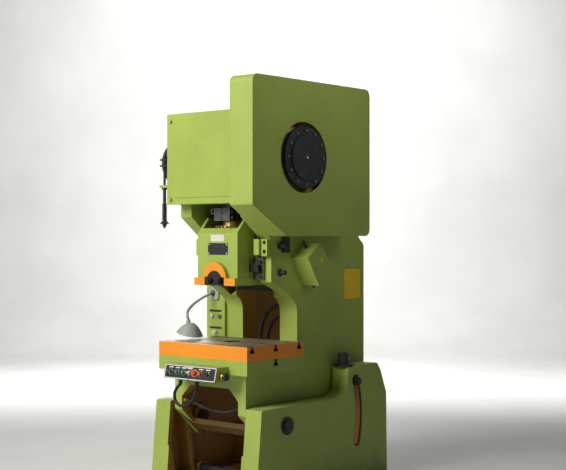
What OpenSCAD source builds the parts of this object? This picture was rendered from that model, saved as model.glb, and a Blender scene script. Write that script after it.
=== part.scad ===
// Open-back inclinable mechanical stamping press.
// Millimetres, +Z up, X to the operator's right, Y away from the operator.
// The origin is the centre of the four foundation bolt holes, on the floor.

/* [Slide and crank] */
// Full stroke of the slide
stroke = 130; // [110:5:130]
// Height of the crankshaft's axis above the floor
crank_z = 2319; // [2310:1:2330]
// Distance from the slide's axis to the column face behind it
throat_d = 309; // [300:1:320]
// Width of the slide
slide_w = 388; // [370:2:400]
// Depth of the slide, front to back
slide_d = 306; // [300:2:310]
// Height of the slide's underside at top dead centre
slide_z = 1435; // [1425:5:1445]
// Height of the slide's front wall
slide_h = 371; // [360:1:380]
// Radius of the shank bore in the slide's underside
shank_r = 30; // [20:1:32]
// Radius of the crankshaft's main journals
journal_r = 80; // [70:1:85]
// Radius of the crank pin
crankpin_r = 75; // [65:1:78]
// Radius of the ball on the adjusting screw
ball_r = 50; // [44:1:52]

/* [Frame] */
// Width of the frame casting
frame_w = 694; // [680:2:700]
// Thickness of the frame's side plates
side_t = 32; // [28:1:40]
// Clear width between the two columns
column_gap = 366; // [350:2:376]
// Depth of the columns, front to back
column_d = 151; // [130:1:170]
// Height of the frame's head
frame_top_z = 2620; // [2600:5:2640]
// Clear width between the slide's guides in the head
guide_gap = 480; // [476:1:490]

/* [Bed and bolster] */
// Width of the bolster
bolster_w = 860; // [840:10:880]
// Depth of the bolster
bolster_d = 596; // [580:2:600]
// Thickness of the bolster
bolster_t = 100; // [85:1:101]
// Height of the bed's top face above the floor
bed_z = 930; // [926:1:934]
// Thickness of the bed slab under the bolster
slab_t = 99; // [90:1:105]
// Width of the T-slots' necks
t_slot_w = 22; // [16:1:26]

/* [Tilting legs] */
// Gap between the frame and each leg
leg_gap = 22; // [20:1:24]
// Width of each leg
leg_w = 145; // [130:1:150]
// Thickness of a leg's outer wall
leg_wall = 28; // [24:1:34]
// Height of the tilting pivot above the floor
pivot_z = 472; // [462:1:480]
// Radius of the pivot pins
pivot_r = 50; // [40:1:54]
// Radius from the pivot to the locking bolts
lock_radius = 816; // [810:1:820]
// Greatest backward tilt of the frame, in degrees
tilt_max = 25; // [20:1:25]

/* [Gear train] */
// Gear module
gear_module = 10; // [10:1:10]
// Teeth on the main gear
gear_teeth = 96; // [90:6:96]
// Teeth on the pinion
pinion_teeth = 18; // [16:1:20]
// Face width of the gears
gear_face = 120; // [100:5:130]
// Radius of the flywheel
flywheel_r = 370; // [340:5:370]
// Radius of the motor's pulley
pulley_r = 75; // [60:5:80]
// Number of V-belts
belt_count = 4; // [2:1:4]
// Radius of the brake drum
drum_r = 160; // [150:2:164]

/* [Covers] */
// Gap from the main gear's teeth to the guard's top edge
guard_gap = 38; // [30:1:50]
// Radius of the guard's sight hole over the clutch cap
guard_hole_r = 243; // [225:1:250]
// Radius of the clutch cap
cap_r = 214; // [190:2:218]
// Sheet thickness of the covers
sheet_t = 5; // [4:1:7]

/* [Controls and lamp] */
// Width of the front control box
panel_w = 500; // [480:5:520]
// Height of the front control box's face
panel_h = 102; // [96:1:108]
// Travel of the push buttons
button_travel = 5; // [3:0.5:6]
// Radius of the lamp's shade at its rim
shade_r = 97; // [85:1:100]

/* [Hidden] */

$fn = 64;
// Clearance of a running fit, on the radius
fit = 0.05;
// Gap between faces that slide or seat on different bodies
seat = 0.3;

// Paint and metal
green = "#a8c050";
orange = "#ff9f23";
ochre = "#a07828";
black = "#1c1c20";
steel = "#9a9a98";
bronze = "#b98a3c";
grey = "#c8ccc4";

// Main axes and planes, from the driving sizes
ram_y = -390;
side_x = frame_w / 2;
inner_x = side_x - side_t;
column_y = ram_y + throat_d;
column_back_y = column_y + column_d;
throw = stroke / 2;
crankpin_z = crank_z + throw;
bed_front_y = -700;
bed_back_y = bed_front_y + bolster_d;
bolster_z = bed_z + bolster_t;
leg_x0 = side_x + leg_gap;
leg_x1 = leg_x0 + leg_w;
pivot_y = -386;
shaft_y = ram_y + gear_module * (gear_teeth + pinion_teeth) / 2;
lock_angle = 17.2;
guide_x = guide_gap / 2;
head_front_y = -562;
cheek_y = -361;
cheek_z = 1459;
gib_top_z = 1762;
slide_front_y = ram_y - slide_d / 2;
guard_top_z = crank_z + gear_module * (gear_teeth / 2 + 1) + guard_gap;
liner_top_z = gib_top_z + 22;

// Helpers: turns a side view drawn in (Y, Z) into a plate between two X planes
module along_x(x0, x1) {
  translate([x0, 0, 0]) rotate([90, 0, 90]) linear_extrude(x1 - x0) children();
}

// A round bar along X
module bar_x(r, x0, x1, y, z) {
  translate([x0, y, z]) rotate([0, 90, 0]) cylinder(r = r, h = x1 - x0);
}

// A block between two corners
module block(low, high) {
  translate(low) cube(high - low);
}

// Its children, and their mirror image on the left side
module both_sides() {
  children();
  mirror([1, 0, 0]) children();
}

function unit(v) = v / norm(v);
function half_turn(a) = a > 180 ? a - 360 : a < -180 ? a + 360 : a;

// Points of one corner of an outline, rounded to radius r with n steps
function corner(before, at, after, r, n) =
  r == 0 ? [at] :
  let (u = unit(before - at), v = unit(after - at), half = acos(u * v) / 2)
  let (c = at + unit(u + v) * r / sin(half), a = at + u * r / tan(half) - c, b = at + v * r / tan(half) - c)
  let (from = atan2(a.y, a.x), turn = half_turn(atan2(b.y, b.x) - from))
  [for (i = [0 : n]) c + r * [cos(from + turn * i / n), sin(from + turn * i / n)]];

// An outline from points [x, y, corner radius]
function rounded(p, n = 6) = [for (i = [0 : len(p) - 1])
  let (a = p[(i + len(p) - 1) % len(p)], b = p[i], c = p[(i + 1) % len(p)])
  each corner([a.x, a.y], [b.x, b.y], [c.x, c.y], b.z, n)];

// A rectangle with rounded corners, centred on the origin
module round_rect(w, h, r) {
  polygon(rounded([[-w / 2, -h / 2, r], [w / 2, -h / 2, r], [w / 2, h / 2, r], [-w / 2, h / 2, r]]));
}

// A curved slot about the origin, between two angles
module arc_slot(radius, half_w, a0, a1) {
  steps = 24;
  polygon([
    for (i = [0 : steps]) let (a = a0 + (a1 - a0) * i / steps) (radius + half_w) * [cos(a), sin(a)],
    for (i = [1 : 11]) radius * [cos(a1), sin(a1)] + half_w * [cos(a1 + 15 * i), sin(a1 + 15 * i)],
    for (i = [steps : -1 : 0]) let (a = a0 + (a1 - a0) * i / steps) (radius - half_w) * [cos(a), sin(a)],
    for (i = [1 : 11]) radius * [cos(a0), sin(a0)] + half_w * [cos(a0 + 180 + 15 * i), sin(a0 + 180 + 15 * i)]
  ]);
}

// A hexagon nut or bolt head across flats w
module hex(w, h) {
  cylinder(d = w / cos(30), h = h, $fn = 6);
}

// A tube swept along a smooth curve through hand-chosen points
function catmull(p, i, t) =
  let (last = len(p) - 1, a = p[max(i - 1, 0)], b = p[i], c = p[min(i + 1, last)], d = p[min(i + 2, last)])
  0.5 * (2 * b + (c - a) * t + (2 * a - 5 * b + 4 * c - d) * t * t + (3 * b - a - 3 * c + d) * t * t * t);
function smooth(p, n) = [for (i = [0 : len(p) - 2]) for (k = [0 : n - 1]) catmull(p, i, k / n), p[len(p) - 1]];
function carried(n, t) = unit(n - (n * t) * t);
function squared(v) = [for (k = v) abs(k) == max([for (j = v) abs(j)]) ? sign(k) : 0];
function frames(c, i, n) =
  let (d = c[min(i + 1, len(c) - 1)] - c[max(i - 1, 0)], t = i == 0 || i == len(c) - 1 ? squared(d) : unit(d),
    m = carried(n, t))
  i == len(c) - 1 ? [[t, m]] : concat([[t, m]], frames(c, i + 1, m));
module tube(points, r, sides = 8, per_span = 3, up = [0.3, 1, 0.2]) {
  c = smooth(points, per_span);
  f = frames(c, 0, up);
  rings = [for (i = [0 : len(c) - 1]) for (k = [0 : sides - 1])
    let (a = 360 * k / sides) c[i] + r * (cos(a) * f[i][1] + sin(a) * cross(f[i][0], f[i][1]))];
  last = (len(c) - 1) * sides;
  polyhedron(rings, concat(
    [[for (k = [0 : sides - 1]) k]],
    [for (i = [0 : len(c) - 2]) for (k = [0 : sides - 1]) let (a = i * sides + k, b = i * sides + (k + 1) % sides)
      each [[a, a + sides, b + sides], [a, b + sides, b]]],
    [[for (k = [sides - 1 : -1 : 0]) last + k]]));
}

// Legs: two open-sided castings that carry the frame at the pivot and the locking slot
foot_front_y = -700;
foot_back_y = 780;
leg_top_z = 604;
post_y = 335;
post_z = 822;
bolt_y = 600;
bolt_r = 16;
rod_ys = [-330, 530];
rod_z = 75;
rod_r = 24;
rod_depth = 60;
foot_lip = 14;
foot_t = 40;
slot_half = 26;
slot_step = 39;
slot_step_d = 12;
slot_low = lock_angle - tilt_max - 6.5;
slot_high = lock_angle + 0.8;
leg_outline = [[foot_front_y, 0, 0], [-645, leg_top_z - 4, 14], [-580, leg_top_z, 0], [205, leg_top_z, 90],
  [290, 650, 0], [302, post_z, 12], [412, post_z, 0], [424, post_z + 10, 0], [654, post_z + 8, 30],
  [700, 770, 20], [770, 600, 40], [foot_back_y, 0, 0]];

module leg_window(points, x0, x1) {
  along_x(x0, x1) polygon(rounded(points));
}

// The right leg, seen from outside; its open side faces the frame
module leg() {
  inner = leg_x1 - leg_wall;
  difference() {
    union() {
      difference() {
        along_x(leg_x0, leg_x1) polygon(rounded(leg_outline));
        // Pockets between the rim and the ribs
        leg_window([[-650, 40, 12], [-612, 565, 20], [-500, 565, 12], [-430, 40, 12]], leg_x0 - 1, inner);
        leg_window([[-395, 40, 12], [-455, 565, 12], [215, 565, 40], [120, 40, 12]], leg_x0 - 1, inner);
        leg_window([[165, 40, 12], [300, 640, 12], [318, 770, 20], [640, 790, 24], [735, 590, 24], [745, 40, 12]],
          leg_x0 - 1, inner);
      }
      // Bosses for the pivot pin, the slot and the tie rods
      bar_x(pivot_r + 45, leg_x0, leg_x1, pivot_y, pivot_z);
      along_x(leg_x0 + 40, leg_x1) translate([pivot_y, pivot_z])
        arc_slot(lock_radius, slot_step + 20, slot_low, slot_high);
      for (y = rod_ys) bar_x(rod_r + 24, leg_x0 - foot_lip, leg_x1, y, rod_z);
      // Foot flange, wider towards the inside
      along_x(leg_x0 - foot_lip, leg_x1) polygon([[foot_front_y, 0], [foot_front_y + 26, 285], [-640, 240],
        [-600, foot_t], [foot_back_y - 4, foot_t], [foot_back_y, 0]]);
    }
    bar_x(pivot_r, leg_x0 - 1, leg_x1 + 1, pivot_y, pivot_z);
    for (y = rod_ys) bar_x(rod_r, leg_x0 - 30, leg_x0 + rod_depth, y, rod_z);
    along_x(leg_x0 - 1, leg_x1 + 1) translate([pivot_y, pivot_z])
      arc_slot(lock_radius, slot_half, slot_low, slot_high);
    along_x(leg_x1 - slot_step_d, leg_x1 + 1) translate([pivot_y, pivot_z])
      arc_slot(lock_radius, slot_step, slot_low, slot_high);
    for (y = [-bolt_y, bolt_y]) translate([leg_x0 + leg_w / 2, y, -1]) cylinder(r = bolt_r, h = 60);
    // Bore for the locking stud in the rear post
    translate([leg_x0 + leg_w / 2, post_y, post_z - 70]) cylinder(r = 20, h = 200);
  }
}

module leg_right() {
  color(green) leg();
}

module leg_left() {
  color(green) mirror([1, 0, 0]) leg();
}

// Two steel rods screwed into the legs' inner bosses, each with a shoulder nut at both ends
module leg_tie_rods() {
  shoulder = leg_x0 - foot_lip;
  color(black) for (y = rod_ys) {
    bar_x(rod_r - fit, -leg_x0 - rod_depth, leg_x0 + rod_depth, y, rod_z);
    both_sides() bar_x(rod_r + 12, shoulder - 44, shoulder, y, rod_z);
    both_sides() translate([shoulder - 70, y, rod_z]) rotate([0, 90, 0]) hex(62, 28);
  }
}

// Pivot pins with their stepped caps
module pivot_pins() {
  color(black) both_sides() {
    bar_x(pivot_r - fit, inner_x - 30, leg_x1 + 2, pivot_y, pivot_z);
    bar_x(pivot_r + 12, leg_x1, leg_x1 + 10, pivot_y, pivot_z);
    bar_x(pivot_r - 8, leg_x1 + 10, leg_x1 + 26, pivot_y, pivot_z);
  }
}

// Hardened rims set into the step of each curved slot
slot_rim_t = 6;
module slot_rims() {
  color(black) both_sides() along_x(leg_x1 - slot_step_d, leg_x1 - slot_step_d + slot_rim_t)
    translate([pivot_y, pivot_z]) difference() {
      arc_slot(lock_radius, slot_step, slot_low, slot_high);
      arc_slot(lock_radius, slot_half, slot_low, slot_high);
    }
}

// Locking studs in the rear posts, with a washer and a tall round nut
module tilt_lock_nuts() {
  color(black) both_sides() translate([leg_x0 + leg_w / 2, post_y, post_z]) {
    translate([0, 0, -60]) cylinder(r = 20 - fit, h = 90);
    cylinder(r = 70, h = 16);
    translate([0, 0, 16]) cylinder(r = 42, h = 82);
    translate([0, 0, 98]) cylinder(r = 30, h = 6);
  }
}

// Main casting
rear_y = 706;
belly_z = 342;
slope_low = [649, 1768];
slope_high = [110, 2600];
head_floor_z = 1920;
frame_outline = [[-623, bed_z, 0], [-623, 545, 30], [-405, belly_z, 50], [180, belly_z, 90], [rear_y, 720, 60],
  [rear_y, 1722, 40], [slope_low.x, slope_low.y, 40], [slope_high.x, slope_high.y, 60],
  [60, frame_top_z, 0], [head_front_y, frame_top_z, 20], [head_front_y, head_floor_z, 20],
  [cheek_y, gib_top_z, 0], [cheek_y, cheek_z, 12], [column_y - 159, 1408, 0], [column_y, 1300, 120],
  [column_y, bed_z, 0]];
inner_outline = [[-560, 790, 20], [-560, 560, 20], [-380, belly_z - 60, 0], [180, belly_z - 60, 0],
  [rear_y - 45, 700, 20], [rear_y - 45, 1700, 30], [slope_low.x - 50, slope_low.y - 20, 30],
  [slope_high.x - 30, slope_high.y - 60, 30], [-60, frame_top_z - 60, 0], [-60, 1500, 40],
  [column_back_y, 1400, 40], [column_back_y, 790, 20]];

// A T-slot along X, at one Y; its mouth is at height z
module t_slot(y, z, half_x) {
  block([-half_x, y - t_slot_w / 2, z - 46], [half_x, y + t_slot_w / 2, z + 1]);
  block([-half_x, y - t_slot_w, z - 46], [half_x, y + t_slot_w, z - 26]);
}

module c_frame() {
  boss_r = pivot_r + 45;
  color(green) difference() {
    union() {
      difference() {
        along_x(-side_x, side_x) polygon(rounded(frame_outline));
        // Room between the side plates, open below and behind
        along_x(-inner_x, inner_x) polygon(rounded(inner_outline));
        // Throat between the columns
        block([-column_gap / 2, column_y - 300, bed_z], [column_gap / 2, column_back_y + 60, 1385]);
        // Slide room between the guides, open in front and below
        block([-guide_x, -900, 1300], [guide_x, -150, frame_top_z - 60]);
        // Rear windows above and below a cross rib
        block([-column_gap / 2, rear_y - 120, 1000], [column_gap / 2, rear_y + 60, 1560]);
        block([-column_gap / 2, rear_y - 300, 400], [column_gap / 2, rear_y + 60, 900]);
        // Arch in the front apron
        translate([0, -500, 0]) rotate([90, 0, 0]) linear_extrude(300)
          polygon(rounded([[-275, 200, 0], [275, 200, 0], [275, 640, 0], [190, 725, 30], [-190, 725, 30],
            [-275, 640, 0]]));
      }
      // Bed slab
      block([-bolster_w / 2, bed_front_y, bed_z - slab_t], [bolster_w / 2, bed_back_y, bed_z]);
      // Outer and inner bosses of the pivot and the locking bolts
      both_sides() bar_x(boss_r, inner_x - 20, leg_x0 - seat, pivot_y, pivot_z);
      both_sides() bar_x(48, inner_x - 20, leg_x0 + 30, lock_y, lock_z);
      // Inner lips of the belly
      both_sides() block([inner_x - 40, -380, belly_z], [inner_x + 1, 170, belly_z + 26]);
      // Rear guides behind the slide's ribs
      both_sides() block([slide_w / 2 + 6, rib_y1 + seat, cheek_z + 16], [guide_x + 1, rib_y1 + 40, liner_top_z]);
      frame_glands();
      // Pads of the motor mount
      for (x = [-260, 100]) motor_frame() block([x, -150, -motor_up - 60], [x + 60, 150, -motor_up - mount_t]);
    }
    // Hole down through the slab for scrap, and the slab's T-slot
    block([-120, -500, bed_z - slab_t - 60], [120, -220, bed_z + 1]);
    t_slot(t_slot_ys[1], bed_z, bolster_w);
    both_sides() bar_x(pivot_r, inner_x - 100, leg_x1, pivot_y, pivot_z);
    both_sides() bar_x(lock_r, inner_x - 100, leg_x1, lock_y, lock_z);
    // Bores for the crankshaft's bushes and the backshaft's housings
    both_sides() bar_x(bush_r, guide_x - 60, side_x + 1, ram_y, crank_z);
    both_sides() bar_x(housing_r, side_x - 120, side_x + 1, shaft_y, crank_z);
    bar_x(shaft_r + 12, -side_x, side_x, shaft_y, crank_z);
  }
}

lock_y = pivot_y + lock_radius * cos(lock_angle);
lock_z = pivot_z + lock_radius * sin(lock_angle);
lock_r = 24;
t_slot_ys = [bed_front_y + 50, bed_front_y + 293, bed_front_y + 543];

// Bolts that ride in the curved slots and clamp the frame at its tilt
module slot_bolts() {
  rim_x = leg_x1 - slot_step_d + slot_rim_t + seat;
  color(black) both_sides() {
    bar_x(lock_r - fit, inner_x - 20, leg_x1 + 34, lock_y, lock_z);
    bar_x(35, rim_x, rim_x + 8, lock_y, lock_z);
    translate([rim_x + 8, lock_y, lock_z]) rotate([0, 90, 0]) hex(56, 26);
  }
}

// Bolster: an orange plate with three T-slots and a drop hole
module bolster_plate() {
  color(orange) difference() {
    block([-bolster_w / 2, bed_front_y, bed_z], [bolster_w / 2, bed_back_y, bolster_z]);
    for (y = t_slot_ys) t_slot(y, bolster_z, bolster_w);
    translate([0, ram_y, bed_z - 1]) cylinder(r = 60, h = bolster_t + 2);
    for (x = [-1, 1]) for (y = [bed_front_y + 120, bed_back_y - 110])
      translate([x * (bolster_w / 2 - 60), y, bed_z - 1]) {
        cylinder(r = 13, h = bolster_t + 2);
        translate([0, 0, bolster_t - 25]) cylinder(r = 20, h = 40);
      }
  }
}

// Crankshaft and its bushes
bush_r = 150;
web_r = 118;
web_x0 = 82;
web_x1 = 160;
gear_seat_r = 70;
drum_seat_r = 62;
drum_x0 = side_x + 103;
drum_x1 = side_x + 213;

module crank_bushes() {
  color(bronze) both_sides() difference() {
    union() {
      bar_x(bush_r - fit, guide_x, side_x + 20, ram_y, crank_z);
      bar_x(bush_r + 22, side_x, side_x + 20, ram_y, crank_z);
    }
    bar_x(journal_r, guide_x - 1, side_x + 30, ram_y, crank_z);
  }
}

module crankshaft() {
  color(steel) {
    bar_x(journal_r - fit, web_x1, side_x + 22, ram_y, crank_z);
    bar_x(journal_r - fit, -side_x - 22, -web_x1, ram_y, crank_z);
    bar_x(gear_seat_r - fit, side_x + 22, gear_x1 + 22, ram_y, crank_z);
    bar_x(drum_seat_r, -drum_x1 - 6, -side_x - 22, ram_y, crank_z);
    bar_x(crankpin_r - fit, -web_x0, web_x0, ram_y, crankpin_z);
    both_sides() along_x(web_x0, web_x1) hull() {
      translate([ram_y, crank_z]) circle(r = web_r - 10, $fn = 48);
      translate([ram_y, crankpin_z]) circle(r = web_r - 16, $fn = 48);
    }
  }
}

// Connecting rod: the big end is split, the shank takes the adjusting screw
big_end_r = 118;
screw_r = 40;
ball_z = 1685;
shank_r_out = 72;
shank_low_z = 1892;
clamp_bolt_y = -80;

module big_end(low) {
  intersection() {
    difference() {
      union() {
        bar_x(big_end_r, -web_x0 + 2, web_x0 - 2, ram_y, crankpin_z);
        block([-web_x0 + 8, ram_y - 150, crankpin_z - 50], [web_x0 - 8, ram_y + 150, crankpin_z + 50]);
      }
      bar_x(crankpin_r, -web_x0, web_x0, ram_y, crankpin_z);
      for (y = [-134, 134]) for (x = [-40, 40])
        translate([x, ram_y + y, crankpin_z - 60]) cylinder(r = 10, h = 120);
    }
    translate([-200, ram_y - 200, low ? crankpin_z - 300 : crankpin_z]) cube([400, 400, 300]);
  }
}

module connecting_rod() {
  color(steel) difference() {
    union() {
      big_end(true);
      translate([0, ram_y, shank_low_z]) cylinder(r = shank_r_out, h = crankpin_z - big_end_r + 30 - shank_low_z);
      block([-76, ram_y - 108, shank_low_z], [76, ram_y - 40, shank_low_z + 92]);
    }
    translate([0, ram_y, shank_low_z - 1]) cylinder(r = screw_r + 0.5, h = 200);
    // Clamping slit of the shank, with its two bolt holes
    block([-3, ram_y - 120, shank_low_z - 1], [3, ram_y, shank_low_z + 130]);
    for (z = [22, 68]) bar_x(9, -80, 80, ram_y + clamp_bolt_y, shank_low_z + z);
  }
}

module rod_cap() {
  color(steel) {
    big_end(false);
    for (y = [-134, 134]) for (x = [-40, 40]) translate([x, ram_y + y, crankpin_z + 50]) hex(30, 16);
  }
}

module adjusting_screw() {
  color(steel) {
    translate([0, ram_y, ball_z]) sphere(r = ball_r);
    translate([0, ram_y, ball_z + 20]) cylinder(r = 30, h = ring_z - ball_z - 20);
    translate([0, ram_y, ring_z - 40]) cylinder(r = screw_r, h = shank_low_z + 180 - ring_z);
  }
}

// Toothed brass ring for turning the screw with a bar
ring_z = 1813;
ring_t = 44;
ring_r = 122;
module ratchet_ring() {
  teeth = 24;
  color(bronze) difference() {
    union() {
      translate([0, ram_y, ring_z]) linear_extrude(ring_t) polygon([for (i = [0 : teeth - 1]) for (k = [0 : 3])
        let (a = (i + [0, 0.12, 0.5, 0.62][k]) * 360 / teeth, r = k < 1 || k > 2 ? ring_r - 14 : ring_r)
        r * [cos(a), sin(a)]]);
      translate([0, ram_y, ring_z + ring_t]) cylinder(r = 66, h = 30);
    }
    translate([0, ram_y, ring_z - 1]) cylinder(r = screw_r, h = ring_t + 40);
  }
}

// Slide: a hollow casting that runs between the gibs
flange_t = 53;
flange_w = slide_w + 8;
slide_wall = 30;
arch_r = 110;
clamp_r = 75;
rib_x = 44;
rib_y0 = cheek_y + seat;
rib_y1 = rib_y0 + 96;
slide_top_z = slide_z + slide_h;
slot_z = slide_z + 95;
shank_deep = 84;
bar_y = ram_y - 22;
bar_t = 20;
bar_h = 54;
knock_travel = 40;

module slide_body() {
  back_y = ram_y + slide_d / 2;
  pocket_y1 = ram_y + throw + ball_r + 8;
  color(green) difference() {
    union() {
      // Box with side walls that rise to the back
      along_x(-slide_w / 2, slide_w / 2) polygon([[slide_front_y, slide_z + flange_t - 1],
        [slide_front_y, slide_top_z], [slide_front_y + 90, slide_top_z + 106], [back_y, slide_top_z + 106],
        [back_y, slide_z + flange_t - 1]]);
      block([-flange_w / 2, slide_front_y - 33, slide_z], [flange_w / 2, back_y, slide_z + flange_t]);
      // Half-round shank boss on the front
      intersection() {
        translate([0, ram_y, slide_z + flange_t]) rotate([90, 0, 0]) cylinder(r = arch_r, h = 186);
        block([-200, slide_front_y - 33, slide_z], [200, ram_y, slide_z + 300]);
      }
      // Guide ribs
      both_sides() block([slide_w / 2 - 1, rib_y0, slide_z + 45], [slide_w / 2 + rib_x, rib_y1, slide_top_z + 60]);
    }
    // Pocket for the ball and the swing of the rod
    block([-62, ram_y - ball_r - 8, ball_z - ball_r - 16], [62, pocket_y1, slide_top_z + 200]);
    // Open top, above the pocket
    block([-slide_w / 2 + 24, slide_front_y + slide_wall, slide_z + 260],
      [slide_w / 2 - 24, back_y + 1, slide_top_z + 200]);
    // Slot for the knock-out bar
    block([-300, bar_y - bar_t / 2 - seat, slot_z],
      [300, bar_y + bar_t / 2 + seat, slot_z + bar_h + knock_travel + 4]);
    // Shank bore, relieved below the slot
    translate([0, ram_y, slide_z - 1]) cylinder(r = shank_r, h = shank_deep + 1);
    translate([0, ram_y, slide_z + shank_deep - 0.1]) cylinder(r = shank_r + 4, h = slot_z - slide_z - shank_deep + 1.1);
    // Seat of the shank clamp
    block([-clamp_r - 20, slide_front_y - 60, slide_z - 1], [clamp_r + 20, clamp_y, slide_z + 60]);
    translate([0, clamp_y, slide_z + 30]) rotate([90, 0, 0]) cylinder(r = clamp_r, h = 200);
  }
}

clamp_y = ram_y - 60;
stud_x = 46;
module shank_clamp() {
  color(black) difference() {
    union() {
      translate([0, clamp_y - seat, slide_z + 30]) rotate([90, 0, 0]) cylinder(r = clamp_r - 4, h = 116);
      block([-clamp_r - 16, clamp_y - 110, slide_z], [clamp_r + 16, clamp_y - seat, slide_z + 56]);
    }
    block([-200, -900, slide_z - 200], [200, 0, slide_z]);
    both_sides() translate([stud_x, clamp_y + 10, slide_z + 34]) rotate([90, 0, 0]) cylinder(r = 13, h = 300);
  }
}

module clamp_nuts() {
  color(black) both_sides() translate([stud_x, clamp_y - 116 - seat, slide_z + 34]) rotate([90, 0, 0]) {
    translate([0, 0, -110]) cylinder(r = 13 - fit, h = 145);
    hex(42, 24);
  }
}

// Bar through the slide that knocks the punch's scrap out
module knockout_bar() {
  color(black) block([-272, bar_y - bar_t / 2, slot_z + seat], [272, bar_y + bar_t / 2, slot_z + seat + bar_h]);
}

// Stop screws through the gibs' upper blocks, above the bar's ends
gib_t = 26;
gib_y0 = cheek_y - gib_t;
stop_block_z0 = gib_top_z - 112;
gib_block_z0 = gib_top_z - 120;
block_screw_zs = [gib_top_z - 88, gib_top_z - 24];
stop_x = guide_x + 24;
stop_y = gib_y0 - 20;
module knockout_stops() {
  low = slot_z + bar_h + knock_travel + 20;
  color(black) both_sides() translate([stop_x, stop_y, 0]) {
    translate([0, 0, low]) cylinder(r = 11 - fit, h = gib_top_z + 18 - low);
    translate([0, 0, gib_top_z]) hex(32, 12);
  }
}

// Gibs: front plates that hold the slide's ribs against the cheeks
module gib() {
  inner = slide_w / 2 + 5;
  difference() {
    union() {
      block([inner, gib_y0, cheek_z + 16], [side_x - 56, cheek_y, gib_top_z]);
      block([side_x - 57, cheek_y - 44, gib_block_z0], [side_x, cheek_y, gib_top_z]);
      block([inner + 40, gib_y0 - 40, stop_block_z0], [side_x - 58, gib_y0 + 1, gib_top_z]);
      // Liner between the slide's rib and the cheek
      block([slide_w / 2 + rib_x + seat, cheek_y, cheek_z + 16], [guide_x, rib_y1, liner_top_z]);
    }
    for (z = block_screw_zs) translate([side_x - 27, cheek_y + 1, z]) rotate([90, 0, 0]) cylinder(r = 15, h = 60);
    for (z = [1500, 1600]) translate([side_x - 76, cheek_y + 1, z]) rotate([90, 0, 0]) cylinder(r = 9, h = 60);
    translate([stop_x, stop_y, stop_block_z0 - 1]) cylinder(r = 11, h = gib_top_z - stop_block_z0 + 2);
  }
}

module gib_right() {
  color(green) gib();
}

module gib_left() {
  color(green) mirror([1, 0, 0]) gib();
}

// Screws: front ones hold the gibs, side ones set them
module gib_screws() {
  color(black) both_sides() {
    for (z = [1500, 1600]) translate([side_x - 76, gib_y0, z]) rotate([90, 0, 0]) hex(26, 14);
    for (z = block_screw_zs) translate([side_x - 27, cheek_y, z]) rotate([90, 0, 0]) cylinder(r = 15 - fit, h = 30);
    for (z = [1525, 1712]) {
      bar_x(14, side_x, side_x + 46, cheek_y + 84, z);
      translate([side_x + 4, cheek_y + 84, z]) rotate([0, 90, 0]) hex(46, 16);
      translate([side_x + 46, cheek_y + 84, z]) rotate([0, 90, 0]) hex(30, 14);
    }
    block([side_x, cheek_y + 112, gib_top_z - 96], [side_x + 26, cheek_y + 172, gib_top_z + 14]);
  }
}

// Gears: involute flanks drawn by their rolling angle
pressure = 20;
gear_x0 = side_x + 153;
gear_x1 = gear_x0 + gear_face;
function involute(base, r) = let (t = sqrt(max(r * r / (base * base) - 1, 0))) t * 180 / PI - atan(t);
function tooth_half(n, r) = let (p = gear_module * n / 2, base = p * cos(pressure))
  90 / n - 0.35 / p * 180 / PI + involute(base, p) - involute(base, r);
module gear_outline(n, turned = 0) {
  p = gear_module * n / 2;
  radii = [p - 1.25 * gear_module, max(p - 0.7 * gear_module, p * cos(pressure) + 0.01), p, p + 0.95 * gear_module];
  polygon([for (i = [0 : n - 1]) each concat(
    [for (k = [0 : 3]) let (a = 360 * i / n + turned - tooth_half(n, max(radii[k], radii[1])))
      radii[k] * [cos(a), sin(a)]],
    [for (k = [3 : -1 : 0]) let (a = 360 * i / n + turned + tooth_half(n, max(radii[k], radii[1])))
      radii[k] * [cos(a), sin(a)]])]);
}

module main_gear() {
  rim_r = gear_module * gear_teeth / 2 - 46;
  color(orange) difference() {
    union() {
      along_x(gear_x0, gear_x1) translate([ram_y, crank_z]) gear_outline(gear_teeth);
      bar_x(130, side_x + 36, gear_x1 + 8, ram_y, crank_z);
    }
    difference() {
      union() {
        bar_x(rim_r, gear_x0 - 1, gear_x0 + 40, ram_y, crank_z);
        bar_x(rim_r, gear_x1 - 40, gear_x1 + 1, ram_y, crank_z);
        for (a = [30 : 60 : 359]) bar_x(72, gear_x0, gear_x1, ram_y + 290 * cos(a), crank_z + 290 * sin(a));
      }
      bar_x(170, gear_x0 - 2, gear_x1 + 2, ram_y, crank_z);
    }
    bar_x(gear_seat_r, side_x, gear_x1 + 20, ram_y, crank_z);
  }
}

// Clutch cap on the end of the gear's hub, with a ring of bolts
module clutch_cap() {
  x0 = gear_x1 + 8;
  x1 = x0 + 60;
  color(black) difference() {
    union() {
      bar_x(150, x0, x1 - 28, ram_y, crank_z);
      bar_x(cap_r, x1 - 30, x1, ram_y, crank_z);
      bar_x(cap_r * 0.72, x1, x1 + 14, ram_y, crank_z);
      for (a = [0 : 30 : 359]) translate([x1, ram_y + cap_r * 0.86 * cos(a), crank_z + cap_r * 0.86 * sin(a)])
        rotate([0, 90, 0]) hex(19, 9);
    }
    bar_x(gear_seat_r + 6, x0 - 1, x0 + 22, ram_y, crank_z);
    bar_x(9, x1 + 8, x1 + 20, ram_y, crank_z);
  }
}

// Backshaft with pinion and flywheel
shaft_r = 45;
housing_r = 80;
wheel_x0 = -side_x - 223;
wheel_x1 = -side_x - 103;
groove_pitch = 25;
belt_w = 13.2;
belt_x = [for (i = [0 : belt_count - 1])
  (wheel_x0 + wheel_x1) / 2 + (i - (belt_count - 1) / 2) * groove_pitch];

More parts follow.
